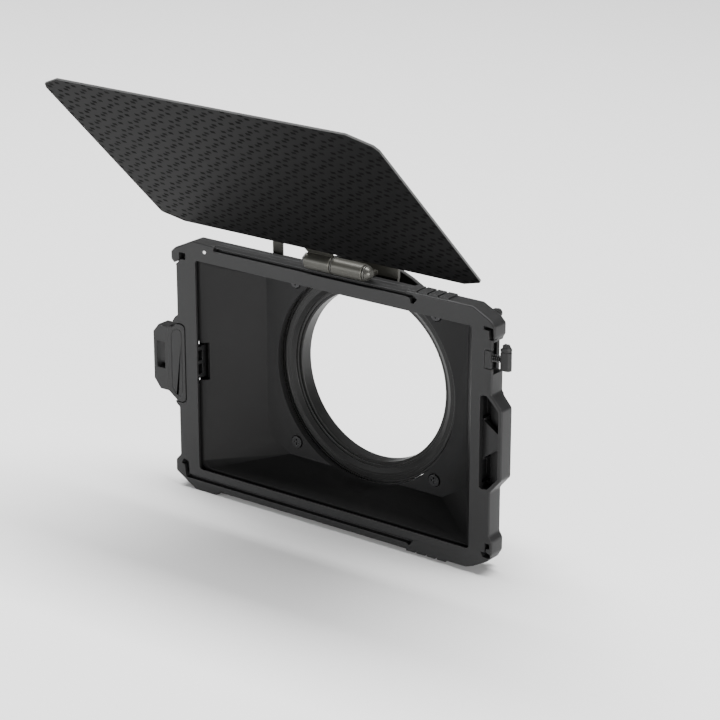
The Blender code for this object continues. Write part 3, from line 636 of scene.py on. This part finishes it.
def settle(piece, body, slot, finish, *nodes):
    """Gives a piece its finish, its body and the CAD parts that it stands for."""
    if finish:
        piece.data.materials.clear()
        piece.data.materials.append(finish)
    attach(piece, body)
    if nodes:
        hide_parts(*nodes)
    return piece


def finished_copy(node, name, width, body, slot, finish):
    """A CAD part that needs nothing but rounded edges and a finish."""
    piece = round_edges(welded_copy(node, name), width)
    return settle(piece, body, slot, finish, node)


def block(low, high):
    """A cutter: a box between two corners."""
    form = bmesh.new()
    bmesh.ops.create_cube(form, size=1)
    for vertex in form.verts:
        for axis in range(3):
            vertex.co[axis] = low[axis] if vertex.co[axis] < 0 else high[axis]
    bmesh.ops.recalc_face_normals(form, faces=form.faces)
    return new_piece("cutter", form)


def rod(begin, end, radius, segments=24):
    """A cutter: a round bar between two points."""
    begin, end = Vector(begin), Vector(end)
    form = bmesh.new()
    bmesh.ops.create_cone(form, cap_ends=True, segments=segments, radius1=radius, radius2=radius,
                          depth=(end - begin).length)
    aim = (end - begin).to_track_quat("Z", "Y").to_matrix().to_4x4()
    form.transform(Matrix.Translation((begin + end) / 2) @ aim)
    bmesh.ops.recalc_face_normals(form, faces=form.faces)
    return new_piece("cutter", form)


def turned(name, profile, centre, axis, segments):
    """A closed profile of (radius, distance along the axis), turned round X or Y."""
    form = bmesh.new()
    rings = []
    for step in range(segments):
        angle = math.tau * step / segments
        ring = []
        for radius, along in profile:
            side, up = radius * math.cos(angle), radius * math.sin(angle)
            place = (along, side, up) if axis == "X" else (side, along, up)
            ring.append(form.verts.new(Vector(centre) + Vector(place)))
        rings.append(ring)
    count = len(profile)
    for step in range(segments):
        here, after = rings[step], rings[(step + 1) % segments]
        for index in range(count):
            following = (index + 1) % count
            form.faces.new((here[index], here[following], after[following], after[index]))
    bmesh.ops.remove_doubles(form, verts=form.verts, dist=WELD)
    bmesh.ops.recalc_face_normals(form, faces=form.faces)
    return new_piece(name, form)


print("edges sharper than", round(math.degrees(SHARP)), "degrees are rounded")

# %% [markdown]
# ## Front frame
#
# The frame is one moulding with rails, corner pockets, grip ribs and a bow on the right. Its
# top rail has a faint parting line, left by the two halves of the mould. That line is a groove
# a tenth of a millimetre deep: too small to matter to the CAD, but it catches the light.

# %% Front frame
COVER_ABOVE_MIDDLE = 35.7 * MM
RAIL_ABOVE_MIDDLE = 56.5 * MM
LINE_DEPTH = 0.12 * MM
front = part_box("front_frame")[0].y
cover_low, cover_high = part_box("button_cover")
opening_z = (cover_low.z + cover_high.z) / 2 - COVER_ABOVE_MIDDLE
rail_top = opening_z + RAIL_ABOVE_MIDDLE

front_frame = welded_copy("front_frame", "frame_moulding")
parting_line = block((-60 * MM, front + 4.6 * MM, rail_top - LINE_DEPTH),
                     (39 * MM, front + 4.85 * MM, rail_top + 1 * MM))
carve(front_frame, [parting_line])
round_edges(front_frame, 0.16 * MM)
settle(front_frame, "hood", "black_polymer", frame_polymer, "front_frame")
print("frame faces:", len(front_frame.data.polygons))

# %% [markdown]
# ## Index dot
#
# A white dot marks the side where a filter's edge goes in. It is a thin pad of paint, so it is
# a short disc with a rounded rim, standing a few hundredths of a millimetre off the frame.

# %% Index dot
DOT_PLACE = (-66.5 * MM, front - 0.01 * MM, opening_z + 52.8 * MM)
form = bmesh.new()
bmesh.ops.create_cone(form, cap_ends=True, segments=40, radius1=0.8 * MM, radius2=0.72 * MM,
                      depth=0.16 * MM)
turn_to_front = Matrix.Rotation(math.radians(90), 4, "X")
form.transform(Matrix.Translation(DOT_PLACE) @ turn_to_front)
index_dot = new_piece("index_dot", form)
settle(index_dot, "hood", "washer_polymer", white_paint)
dot_front = min(vertex.co.y for vertex in index_dot.data.vertices)
print("dot stands proud by", round((front - dot_front) / MM, 3), "mm")

# %% [markdown]
# ## Hood
#
# The hood is a thin tapering tunnel with cut-off corners, a flange that screws to the frame and
# a flat rear wall with a round seat for the ring. Only its edges need work.

# %% Hood
hood = finished_copy("hood_shell", "hood_tunnel", 0.22 * MM, "hood", "black_polymer",
                     hood_polymer)
print("hood faces:", len(hood.data.polygons))

# %% Small moulded parts
SMALL_PARTS = [("button_cover", "recess_cover", 0.12 * MM, "hood"),
               ("push_button", "release_button", 0.14 * MM, "button"),
               ("lock_slide", "filter_lock_slide", 0.20 * MM, "slide")]
for node, name, width, body in SMALL_PARTS:
    part = finished_copy(node, name, width, body, "black_polymer", frame_polymer)
    print(part.name, "rides on", body)

# %% [markdown]
# ## Pull tab
#
# The tab is pulled left to free the filter. Its flat tongue has a fine rounded groove round its
# edge. The groove is a thin tube along that outline, used as a cutter, because a tube leaves
# a rounded bottom, where an inset face would leave a square one.

# %% Pull tab
tab_low, tab_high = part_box("pull_tab")
GROOVE_RADIUS = 0.26 * MM
tongue_face = front - 0.2 * MM
GROOVE_OUTLINE = [(-86.3, 11.5), (-85.2, 13.6), (-83.4, 14.9), (-81.6, 14.9), (-80.6, 13.9),
                  (-80.4, 12.0), (-80.4, -13.2), (-80.7, -14.9), (-81.6, -15.9), (-83.2, -15.9),
                  (-85.2, -14.2), (-86.3, -12.0)]


def outline_tube(points, depth, radius):
    """A closed thin tube through points given as x and height in millimetres."""
    path = bpy.data.curves.new("outline", "CURVE")
    path.dimensions = "3D"
    path.bevel_depth = radius
    path.bevel_resolution = 2
    spline = path.splines.new("POLY")
    spline.points.add(len(points) - 1)
    spline.use_cyclic_u = True
    for point, (x, height) in zip(spline.points, points):
        point.co = (x * MM, depth, opening_z + height * MM, 1)
    tube = bpy.data.objects.new("cutter", path)
    bpy.context.scene.collection.objects.link(tube)
    bpy.context.view_layer.update()
    ready = tube.evaluated_get(bpy.context.evaluated_depsgraph_get())
    shape = bpy.data.meshes.new_from_object(ready)
    bpy.data.objects.remove(tube)
    form = bmesh.new()
    form.from_mesh(shape)
    return new_piece("cutter", form)


tab = welded_copy("pull_tab", "pull_tab_moulding")
carve(tab, [outline_tube(GROOVE_OUTLINE, tongue_face, GROOVE_RADIUS)])
round_edges(tab, 0.22 * MM)
settle(tab, "tab", "black_polymer", frame_polymer, "pull_tab")
finished_copy("filter_clip", "filter_comb", 0.14 * MM, "tab", "bronze_anodised", dark_steel)
print("tab width in mm:", round((tab_high.x - tab_low.x) / MM, 1))

# %% [markdown]
# ## Rings
#
# The rear ring is screwed to the hood, and the adapter turns in it. The adapter is pure
# turning, so it is made again here from its profile with 192 sides, fine steps and the ridges
# of the lens thread, which are plain rings where the real thread is a spiral. The rear ring has
# bosses for its screws, so it stays a finished copy.

# %% Rings
finished_copy("rear_ring", "rear_ring_turned", 0.18 * MM, "hood", "black_anodised",
              black_anodised)

ring_low, ring_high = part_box("adapter_ring")
rim = (ring_high.x - ring_low.x) / 2
length = ring_high.y - ring_low.y
flange = 5.6 * MM
spigot = 41.0 * MM
clear = 38.2 * MM
THREAD_PITCH = 0.75 * MM
THREAD_DEPTH = 0.32 * MM
ADAPTER_SIDES = 192

thread = []
along = flange + 0.5 * MM
while along + THREAD_PITCH < length - 0.4 * MM:
    thread += [(spigot, along), (spigot - THREAD_DEPTH, along + THREAD_PITCH / 2)]
    along += THREAD_PITCH
step_rings = [(rim - 0.15 * MM, 0.0), (46.10 * MM, 0.0), (46.10 * MM, 0.6 * MM),
              (45.30 * MM, 0.6 * MM), (45.30 * MM, 0.0), (44.60 * MM, 0.0),
              (44.50 * MM, 0.1 * MM), (43.60 * MM, 0.1 * MM), (43.50 * MM, 0.0),
              (42.50 * MM, 0.0), (40.60 * MM, 1.15 * MM), (40.50 * MM, 1.3 * MM),
              (40.50 * MM, 1.8 * MM), (39.45 * MM, 1.8 * MM), (39.40 * MM, 1.9 * MM),
              (39.40 * MM, 2.6 * MM), (clear + 0.1 * MM, 2.6 * MM), (clear, 2.7 * MM)]
profile = step_rings + [(clear, length - 0.6 * MM), (clear + 0.4 * MM, length),
                        (spigot - 0.5 * MM, length), (spigot, length - 0.4 * MM)]
profile += list(reversed(thread)) + [(spigot, flange), (rim - 0.15 * MM, flange),
                                     (rim, flange - 0.15 * MM), (rim, 0.15 * MM)]
adapter = turned("lens_adapter", profile, (0, ring_low.y, 0), "Y", ADAPTER_SIDES)
smooth(adapter)
adapter.data.set_sharp_from_angle(angle=math.radians(25))
settle(adapter, "adapter", "black_anodised", black_anodised, "adapter_ring")
print("adapter rim in mm:", round(2 * rim / MM, 1), "thread ridges:", len(thread) // 2)

# %% [markdown]
# ## Hinge
#
# The hinge is two barrels on one pin. The right barrel has two small notches in its underside,
# and the pin ends in a turned cap with a groove. The cap is a cone, so it is turned from
# a profile like the adapter.

# %% Bracket and hinge base
finished_copy("flag_bracket", "hinge_bracket", 0.14 * MM, "hood", "bronze_anodised",
              bronze_anodised)

pin_low, pin_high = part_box("hinge_pin")
axis_y = (pin_low.y + pin_high.y) / 2
axis_z = (pin_low.z + pin_high.z) / 2
BARREL = 3.6 * MM
NOTCH_RADIUS = 0.75 * MM
notch_z = axis_z - BARREL + 0.1 * MM
notches = [rod((x * MM, axis_y - 8 * MM, notch_z), (x * MM, axis_y - 1.6 * MM, notch_z),
               NOTCH_RADIUS) for x in (6.3, 16.2)]
hinge_base = welded_copy("hinge_base", "fixed_barrel")
carve(hinge_base, notches)
round_edges(hinge_base, 0.16 * MM)
settle(hinge_base, "hood", "bronze_anodised", bronze_anodised, "hinge_base")
print("notches in the fixed barrel:", len(notches))

# %% Hinge pin, nut and washer
pin_length = pin_high.x - pin_low.x
cap_start = pin_length - 3.0 * MM
shank = 1.5 * MM
cap = 3.2 * MM
cap_groove = 2.75 * MM
PIN_SIDES = 64
pin_profile = [(0, 0), (shank - 0.2 * MM, 0), (shank, 0.2 * MM), (shank, cap_start),
               (cap - 0.15 * MM, cap_start), (cap, cap_start + 0.15 * MM),
               (cap, cap_start + 0.75 * MM), (cap_groove, cap_start + 0.85 * MM),
               (cap_groove, cap_start + 1.05 * MM), (cap - 0.2 * MM, cap_start + 1.15 * MM),
               (2.85 * MM, cap_start + 1.60 * MM), (2.0 * MM, pin_length - 0.35 * MM),
               (1.5 * MM, pin_length), (0, pin_length)]
pin = turned("hinge_pin_turned", pin_profile, (pin_low.x, axis_y, axis_z), "X",
             PIN_SIDES)
smooth(pin)
pin.data.set_sharp_from_angle(angle=math.radians(28))
settle(pin, "hood", "dark_steel", cap_steel, "hinge_pin")
finished_copy("hinge_nut", "pin_nut", 0.12 * MM, "hood", "dark_steel", dark_steel)
finished_copy("friction_washer", "hinge_washer", 0.08 * MM, "hood", "washer_polymer",
              washer_polymer)
print("pin length in mm:", round(pin_length / MM, 1))

# %% [markdown]
# ## Flag
#
# The flag is a millimetre of carbon laminate on a bronze leaf. Its faces carry the weave, and
# its cut edge shows paler fibre ends. The two need different finishes, so the faces of the
# plate are told apart by their direction.

# %% Flag and leaf
finished_copy("flag_leaf", "moving_barrel_and_leaf", 0.16 * MM, "flag", "bronze_anodised",
              bronze_anodised)

plate_normal = Vector((0, math.sin(FLAG_TILT), math.cos(FLAG_TILT)))
flag = round_edges(welded_copy("top_flag", "carbon_flag"), 0.15 * MM)
flag.data.materials.clear()
flag.data.materials.append(flag_face)
flag.data.materials.append(flag_cut_edge)
for face in flag.data.polygons:
    face.material_index = 0 if abs(face.normal.dot(plate_normal)) > 0.9 else 1
settle(flag, "flag", "carbon_plate", None, "top_flag")
print("cut-edge faces:", sum(face.material_index for face in flag.data.polygons))

# %% [markdown]
# ## Screws, with Geometry Nodes
#
# Every screw has the same make-up: a low head with a cross recess on a plain shank. One node
# tree builds one screw from its sizes and puts a copy on each point of the mesh that it is
# given. Each set of screws is a small mesh of points, and the tree's inputs hold its sizes.

# %% Screw tree
def screw_tree():
    tree = bpy.data.node_groups.new("cross_head_screws", "GeometryNodeTree")
    face = tree.interface
    face.new_socket("Geometry", in_out="INPUT", socket_type="NodeSocketGeometry")
    for title in ("Head radius", "Head height", "Shank radius", "Shank length", "Recess width"):
        socket = face.new_socket(title, in_out="INPUT", socket_type="NodeSocketFloat")
        socket.default_value = 0.001
    face.new_socket("Turn", in_out="INPUT", socket_type="NodeSocketRotation")
    face.new_socket("Finish", in_out="INPUT", socket_type="NodeSocketMaterial")
    face.new_socket("Geometry", in_out="OUTPUT", socket_type="NodeSocketGeometry")
    nodes = tree.nodes
    links = tree.links

    sizes = nodes.new("NodeGroupInput")
    sizes.label = "Sizes of the screw"
    head = nodes.new("GeometryNodeMeshCylinder")
    head.label = "Head"
    head.inputs["Vertices"].default_value = 40
    head_up = nodes.new("GeometryNodeTransform")
    head_up.label = "Head stands on its seat"
    half_head = nodes.new("ShaderNodeMath")
    half_head.label = "Half the head's height"
    half_head.operation = "MULTIPLY"
    half_head.inputs[1].default_value = 0.5
    head_place = nodes.new("ShaderNodeCombineXYZ")
    head_place.label = "Head's middle"

    arm_length = nodes.new("ShaderNodeMath")
    arm_length.label = "Recess is half the head across"
    arm_length.operation = "MULTIPLY"
    arm_length.inputs[1].default_value = 1.15
    long_arm = nodes.new("ShaderNodeCombineXYZ")
    long_arm.label = "Recess arm along X"
    cross_arm = nodes.new("ShaderNodeCombineXYZ")
    cross_arm.label = "Recess arm along Y"
    bar_x = nodes.new("GeometryNodeMeshCube")
    bar_x.label = "Cutter along X"
    bar_y = nodes.new("GeometryNodeMeshCube")
    bar_y.label = "Cutter along Y"
    top_place = nodes.new("ShaderNodeCombineXYZ")
    top_place.label = "Top of the head"
    bar_x_up = nodes.new("GeometryNodeTransform")
    bar_x_up.label = "First cutter to the top"
    bar_y_up = nodes.new("GeometryNodeTransform")
    bar_y_up.label = "Second cutter to the top"
    recess = nodes.new("GeometryNodeMeshBoolean")
    recess.label = "Cross recess"
    recess.operation = "DIFFERENCE"
    recess.solver = "EXACT"

    shank = nodes.new("GeometryNodeMeshCylinder")
    shank.label = "Shank"
    shank.inputs["Vertices"].default_value = 24
    half_shank = nodes.new("ShaderNodeMath")
    half_shank.label = "Half the shank, downwards"
    half_shank.operation = "MULTIPLY"
    half_shank.inputs[1].default_value = -0.5
    shank_place = nodes.new("ShaderNodeCombineXYZ")
    shank_place.label = "Shank's middle"
    shank_down = nodes.new("GeometryNodeTransform")
    shank_down.label = "Shank hangs from the seat"
    whole = nodes.new("GeometryNodeMeshBoolean")
    whole.label = "Head and shank in one"
    whole.operation = "UNION"
    whole.solver = "EXACT"

    copies = nodes.new("GeometryNodeInstanceOnPoints")
    copies.label = "One screw on each point"
    real = nodes.new("GeometryNodeRealizeInstances")
    real.label = "Make the copies real"
    dress = nodes.new("GeometryNodeSetMaterial")
    dress.label = "Screw finish"
    result = nodes.new("NodeGroupOutput")
    result.label = "Screws"

    groups = [("Sizes", [sizes]), ("Head", [head, half_head, head_place, head_up]),
              ("Recess", [arm_length, long_arm, cross_arm, bar_x, bar_y, top_place, bar_x_up,
                          bar_y_up, recess]),
              ("Shank", [shank, half_shank, shank_place, shank_down, whole]),
              ("Copies", [copies, real, dress, result])]
    for column, (title, members) in enumerate(groups):
        panel = nodes.new("NodeFrame")
        panel.label = title
        for row, member in enumerate(members):
            member.parent = panel
            member.location = (column * 260, -row * 240)

    links.new(sizes.outputs["Head radius"], head.inputs["Radius"])
    links.new(sizes.outputs["Head height"], head.inputs["Depth"])
    links.new(sizes.outputs["Head height"], half_head.inputs[0])
    links.new(half_head.outputs["Value"], head_place.inputs["Z"])
    links.new(head.outputs["Mesh"], head_up.inputs["Geometry"])
    links.new(head_place.outputs["Vector"], head_up.inputs["Translation"])
    links.new(sizes.outputs["Head radius"], arm_length.inputs[0])
    links.new(arm_length.outputs["Value"], long_arm.inputs["X"])
    links.new(sizes.outputs["Recess width"], long_arm.inputs["Y"])
    links.new(sizes.outputs["Head height"], long_arm.inputs["Z"])
    links.new(sizes.outputs["Recess width"], cross_arm.inputs["X"])
    links.new(arm_length.outputs["Value"], cross_arm.inputs["Y"])
    links.new(sizes.outputs["Head height"], cross_arm.inputs["Z"])
    links.new(long_arm.outputs["Vector"], bar_x.inputs["Size"])
    links.new(cross_arm.outputs["Vector"], bar_y.inputs["Size"])
    links.new(sizes.outputs["Head height"], top_place.inputs["Z"])
    links.new(bar_x.outputs["Mesh"], bar_x_up.inputs["Geometry"])
    links.new(bar_y.outputs["Mesh"], bar_y_up.inputs["Geometry"])
    links.new(top_place.outputs["Vector"], bar_x_up.inputs["Translation"])
    links.new(top_place.outputs["Vector"], bar_y_up.inputs["Translation"])
    links.new(head_up.outputs["Geometry"], recess.inputs["Mesh 1"])
    links.new(bar_x_up.outputs["Geometry"], recess.inputs["Mesh 2"])
    links.new(bar_y_up.outputs["Geometry"], recess.inputs["Mesh 2"])
    links.new(sizes.outputs["Shank radius"], shank.inputs["Radius"])
    links.new(sizes.outputs["Shank length"], shank.inputs["Depth"])
    links.new(sizes.outputs["Shank length"], half_shank.inputs[0])
    links.new(half_shank.outputs["Value"], shank_place.inputs["Z"])
    links.new(shank.outputs["Mesh"], shank_down.inputs["Geometry"])
    links.new(shank_place.outputs["Vector"], shank_down.inputs["Translation"])
    links.new(recess.outputs["Mesh"], whole.inputs["Mesh 2"])
    links.new(shank_down.outputs["Geometry"], whole.inputs["Mesh 2"])
    links.new(sizes.outputs["Geometry"], copies.inputs["Points"])
    links.new(whole.outputs["Mesh"], copies.inputs["Instance"])
    links.new(sizes.outputs["Turn"], copies.inputs["Rotation"])
    links.new(copies.outputs["Instances"], real.inputs["Geometry"])
    links.new(real.outputs["Geometry"], dress.inputs["Geometry"])
    links.new(sizes.outputs["Finish"], dress.inputs["Material"])
    links.new(dress.outputs["Geometry"], result.inputs["Geometry"])
    return tree


def set_inputs(modifier, values):
    """Sets a tree's inputs through their sockets' identifiers."""
    for item in modifier.node_group.interface.items_tree:
        if item.in_out == "INPUT" and item.name in values:
            modifier[item.identifier] = values[item.name]


SCREWS = screw_tree()
print("nodes in the screw tree:", len(SCREWS.nodes))


# %% Screws in their places
TO_FRONT = (math.radians(90), 0, 0)
TO_BACK = (math.radians(-90), 0, 0)


def screw_set(name, nodes, faces_front, head_height, shank_radius):
    """Puts the tree on a mesh of one point for each CAD screw."""
    seats = []
    for node in nodes:
        low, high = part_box(node)
        middle = (low + high) / 2
        seat = low.y + head_height if faces_front else high.y - head_height
        seats.append(Vector((middle.x, seat, middle.z)))
    shape = bpy.data.meshes.new(name)
    shape.from_pydata(seats, [], [])
    piece = bpy.data.objects.new(name, shape)
    bpy.context.scene.collection.objects.link(piece)
    low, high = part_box(nodes[0])
    head_radius = (high.x - low.x) / 2
    making = piece.modifiers.new("screws", "NODES")
    making.node_group = SCREWS
    set_inputs(making, {
        "Head radius": head_radius, "Head height": head_height, "Shank radius": shank_radius,
        "Shank length": (high.y - low.y) - head_height - 0.05 * MM,
        "Recess width": head_radius * 0.30, "Turn": TO_FRONT if faces_front else TO_BACK,
        "Finish": dark_steel})
    plain_mesh(piece)
    round_edges(piece, 0.10 * MM)
    return settle(piece, "hood", "dark_steel", dark_steel, *nodes)


# Which screw, how many, whether it faces the front, head height and shank radius.
SCREW_SETS = [("rear_screw", 4, True, 1.2 * MM, 1.2 * MM),
              ("frame_screw", 4, False, 1.2 * MM, 1.0 * MM),
              ("bracket_screw", 2, False, 1.1 * MM, 0.8 * MM),
              ("hinge_screw", 2, False, 1.1 * MM, 0.8 * MM)]
for screw, count, faces_front, head_height, shank_radius in SCREW_SETS:
    nodes = [f"{screw}_{number}" for number in range(1, count + 1)]
    screws = screw_set(f"{screw}s", nodes, faces_front, head_height, shank_radius)
    print(screws.name, "faces:", len(screws.data.polygons))

# %% [markdown]
# ## Springs, with Geometry Nodes
#
# A compression spring is a round wire wound on a helix. The tree sweeps a small circle along
# a Spiral curve and lays it along X, where both springs work.

# %% Spring tree
def spring_tree():
    tree = bpy.data.node_groups.new("wound_spring", "GeometryNodeTree")
    face = tree.interface
    for title in ("Turns", "Coil radius", "Length", "Wire radius"):
        face.new_socket(title, in_out="INPUT", socket_type="NodeSocketFloat")
    face.new_socket("Start", in_out="INPUT", socket_type="NodeSocketVector")
    face.new_socket("Finish", in_out="INPUT", socket_type="NodeSocketMaterial")
    face.new_socket("Geometry", in_out="OUTPUT", socket_type="NodeSocketGeometry")
    nodes = tree.nodes
    links = tree.links

    sizes = nodes.new("NodeGroupInput")
    sizes.label = "Sizes of the spring"
    helix = nodes.new("GeometryNodeCurveSpiral")
    helix.label = "Path of the wire"
    helix.inputs["Resolution"].default_value = 28
    wire = nodes.new("GeometryNodeCurvePrimitiveCircle")
    wire.label = "Round wire"
    wire.inputs["Resolution"].default_value = 10
    sweep = nodes.new("GeometryNodeCurveToMesh")
    sweep.label = "Sweep the wire"
    sweep.inputs["Fill Caps"].default_value = True
    lay = nodes.new("GeometryNodeTransform")
    lay.label = "Lay the spring along X"
    lay.inputs["Rotation"].default_value = (0, math.radians(90), 0)
    real = nodes.new("GeometryNodeRealizeInstances")
    real.label = "Plain mesh"
    dress = nodes.new("GeometryNodeSetMaterial")
    dress.label = "Wire finish"
    result = nodes.new("NodeGroupOutput")
    result.label = "Spring"

    groups = [("Sizes", [sizes]), ("Wire", [helix, wire, sweep]), ("Place", [lay]),
              ("Finish", [real, dress, result])]
    for column, (title, members) in enumerate(groups):
        panel = nodes.new("NodeFrame")
        panel.label = title
        for row, member in enumerate(members):
            member.parent = panel
            member.location = (column * 260, -row * 240)

    links.new(sizes.outputs["Turns"], helix.inputs["Rotations"])
    links.new(sizes.outputs["Coil radius"], helix.inputs["Start Radius"])
    links.new(sizes.outputs["Coil radius"], helix.inputs["End Radius"])
    links.new(sizes.outputs["Length"], helix.inputs["Height"])
    links.new(sizes.outputs["Wire radius"], wire.inputs["Radius"])
    links.new(helix.outputs["Curve"], sweep.inputs["Curve"])
    links.new(wire.outputs["Curve"], sweep.inputs["Profile Curve"])
    links.new(sweep.outputs["Mesh"], lay.inputs["Geometry"])
    links.new(sizes.outputs["Start"], lay.inputs["Translation"])
    links.new(lay.outputs["Geometry"], real.inputs["Geometry"])
    links.new(real.outputs["Geometry"], dress.inputs["Geometry"])
    links.new(sizes.outputs["Finish"], dress.inputs["Material"])
    links.new(dress.outputs["Geometry"], result.inputs["Geometry"])
    return tree


SPRING = spring_tree()
print("nodes in the spring tree:", len(SPRING.nodes))


# %% Springs in their places
WIRE = 0.30 * MM


def spring(name, node, turns):
    low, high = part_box(node)
    middle = (low + high) / 2
    piece = new_piece(name, bmesh.new())
    making = piece.modifiers.new("spring", "NODES")
    making.node_group = SPRING
    set_inputs(making, {
        "Turns": float(turns), "Coil radius": (high.z - low.z) / 2 - WIRE / 2,
        "Length": (high.x - low.x) - WIRE, "Wire radius": WIRE / 2,
        "Start": (low.x + WIRE / 2, middle.y, middle.z), "Finish": spring_steel})
    plain_mesh(piece)
    smooth(piece)
    form = bmesh.new()
    form.from_mesh(piece.data)
    bmesh.ops.remove_doubles(form, verts=form.verts, dist=WELD)
    bmesh.ops.recalc_face_normals(form, faces=form.faces)
    form.to_mesh(piece.data)
    form.free()
    settle(piece, "hood", "spring_steel", spring_steel, node)
    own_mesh(piece)
    return piece


tab_spring = spring("tab_return_spring", "tab_spring", 5)
button_spring = spring("button_return_spring", "button_spring", 6)
print("spring faces:", len(tab_spring.data.polygons), len(button_spring.data.polygons))

# %% [markdown]
# ## Floor
#
# The floor is a pale sheet that curves up behind the object, as a paper roll does in a studio,
# so no horizon line shows from the front. It touches the lowest point of the object.

# %% Floor
FLOOR_FRONT, FLOOR_BACK, FLOOR_HALF_WIDTH = -4.0, 2.5, 5.0
BEND, BEND_STEPS, SHEET_TOP = 1.5, 12, 5.0


def studio_floor(height):
    """A sheet that runs back flat and then bends up."""
    form = bmesh.new()
    run = [(FLOOR_FRONT, 0.0), (FLOOR_BACK, 0.0)]
    for step in range(1, BEND_STEPS + 1):
        angle = math.radians(90 * step / BEND_STEPS)
        run.append((FLOOR_BACK + BEND * math.sin(angle), BEND * (1 - math.cos(angle))))
    run.append((FLOOR_BACK + BEND, SHEET_TOP))
    edges = (-FLOOR_HALF_WIDTH, FLOOR_HALF_WIDTH)
    rows = [[form.verts.new((x, y, height + up)) for x in edges] for y, up in run]
    for near, far in zip(rows, rows[1:]):
        form.faces.new((near[0], near[1], far[1], far[0]))
    bmesh.ops.recalc_face_normals(form, faces=form.faces)
    piece = new_piece("studio_floor", form)
    smooth(piece)
    return piece


floor = studio_floor(cad_low.z)
paper = bpy.data.materials.new("pale_paper")
paper.use_nodes = True
paper_nodes = paper.node_tree.nodes
paper_shader = paper_nodes["Principled BSDF"]
paper_shader.label = "Pale matt paper"
paper_shader.inputs["Base Color"].default_value = (0.93, 0.93, 0.93, 1)
paper_shader.inputs["Roughness"].default_value = 0.9
floor.data.materials.append(paper)
print("floor at", round(cad_low.z / MM, 1), "mm")
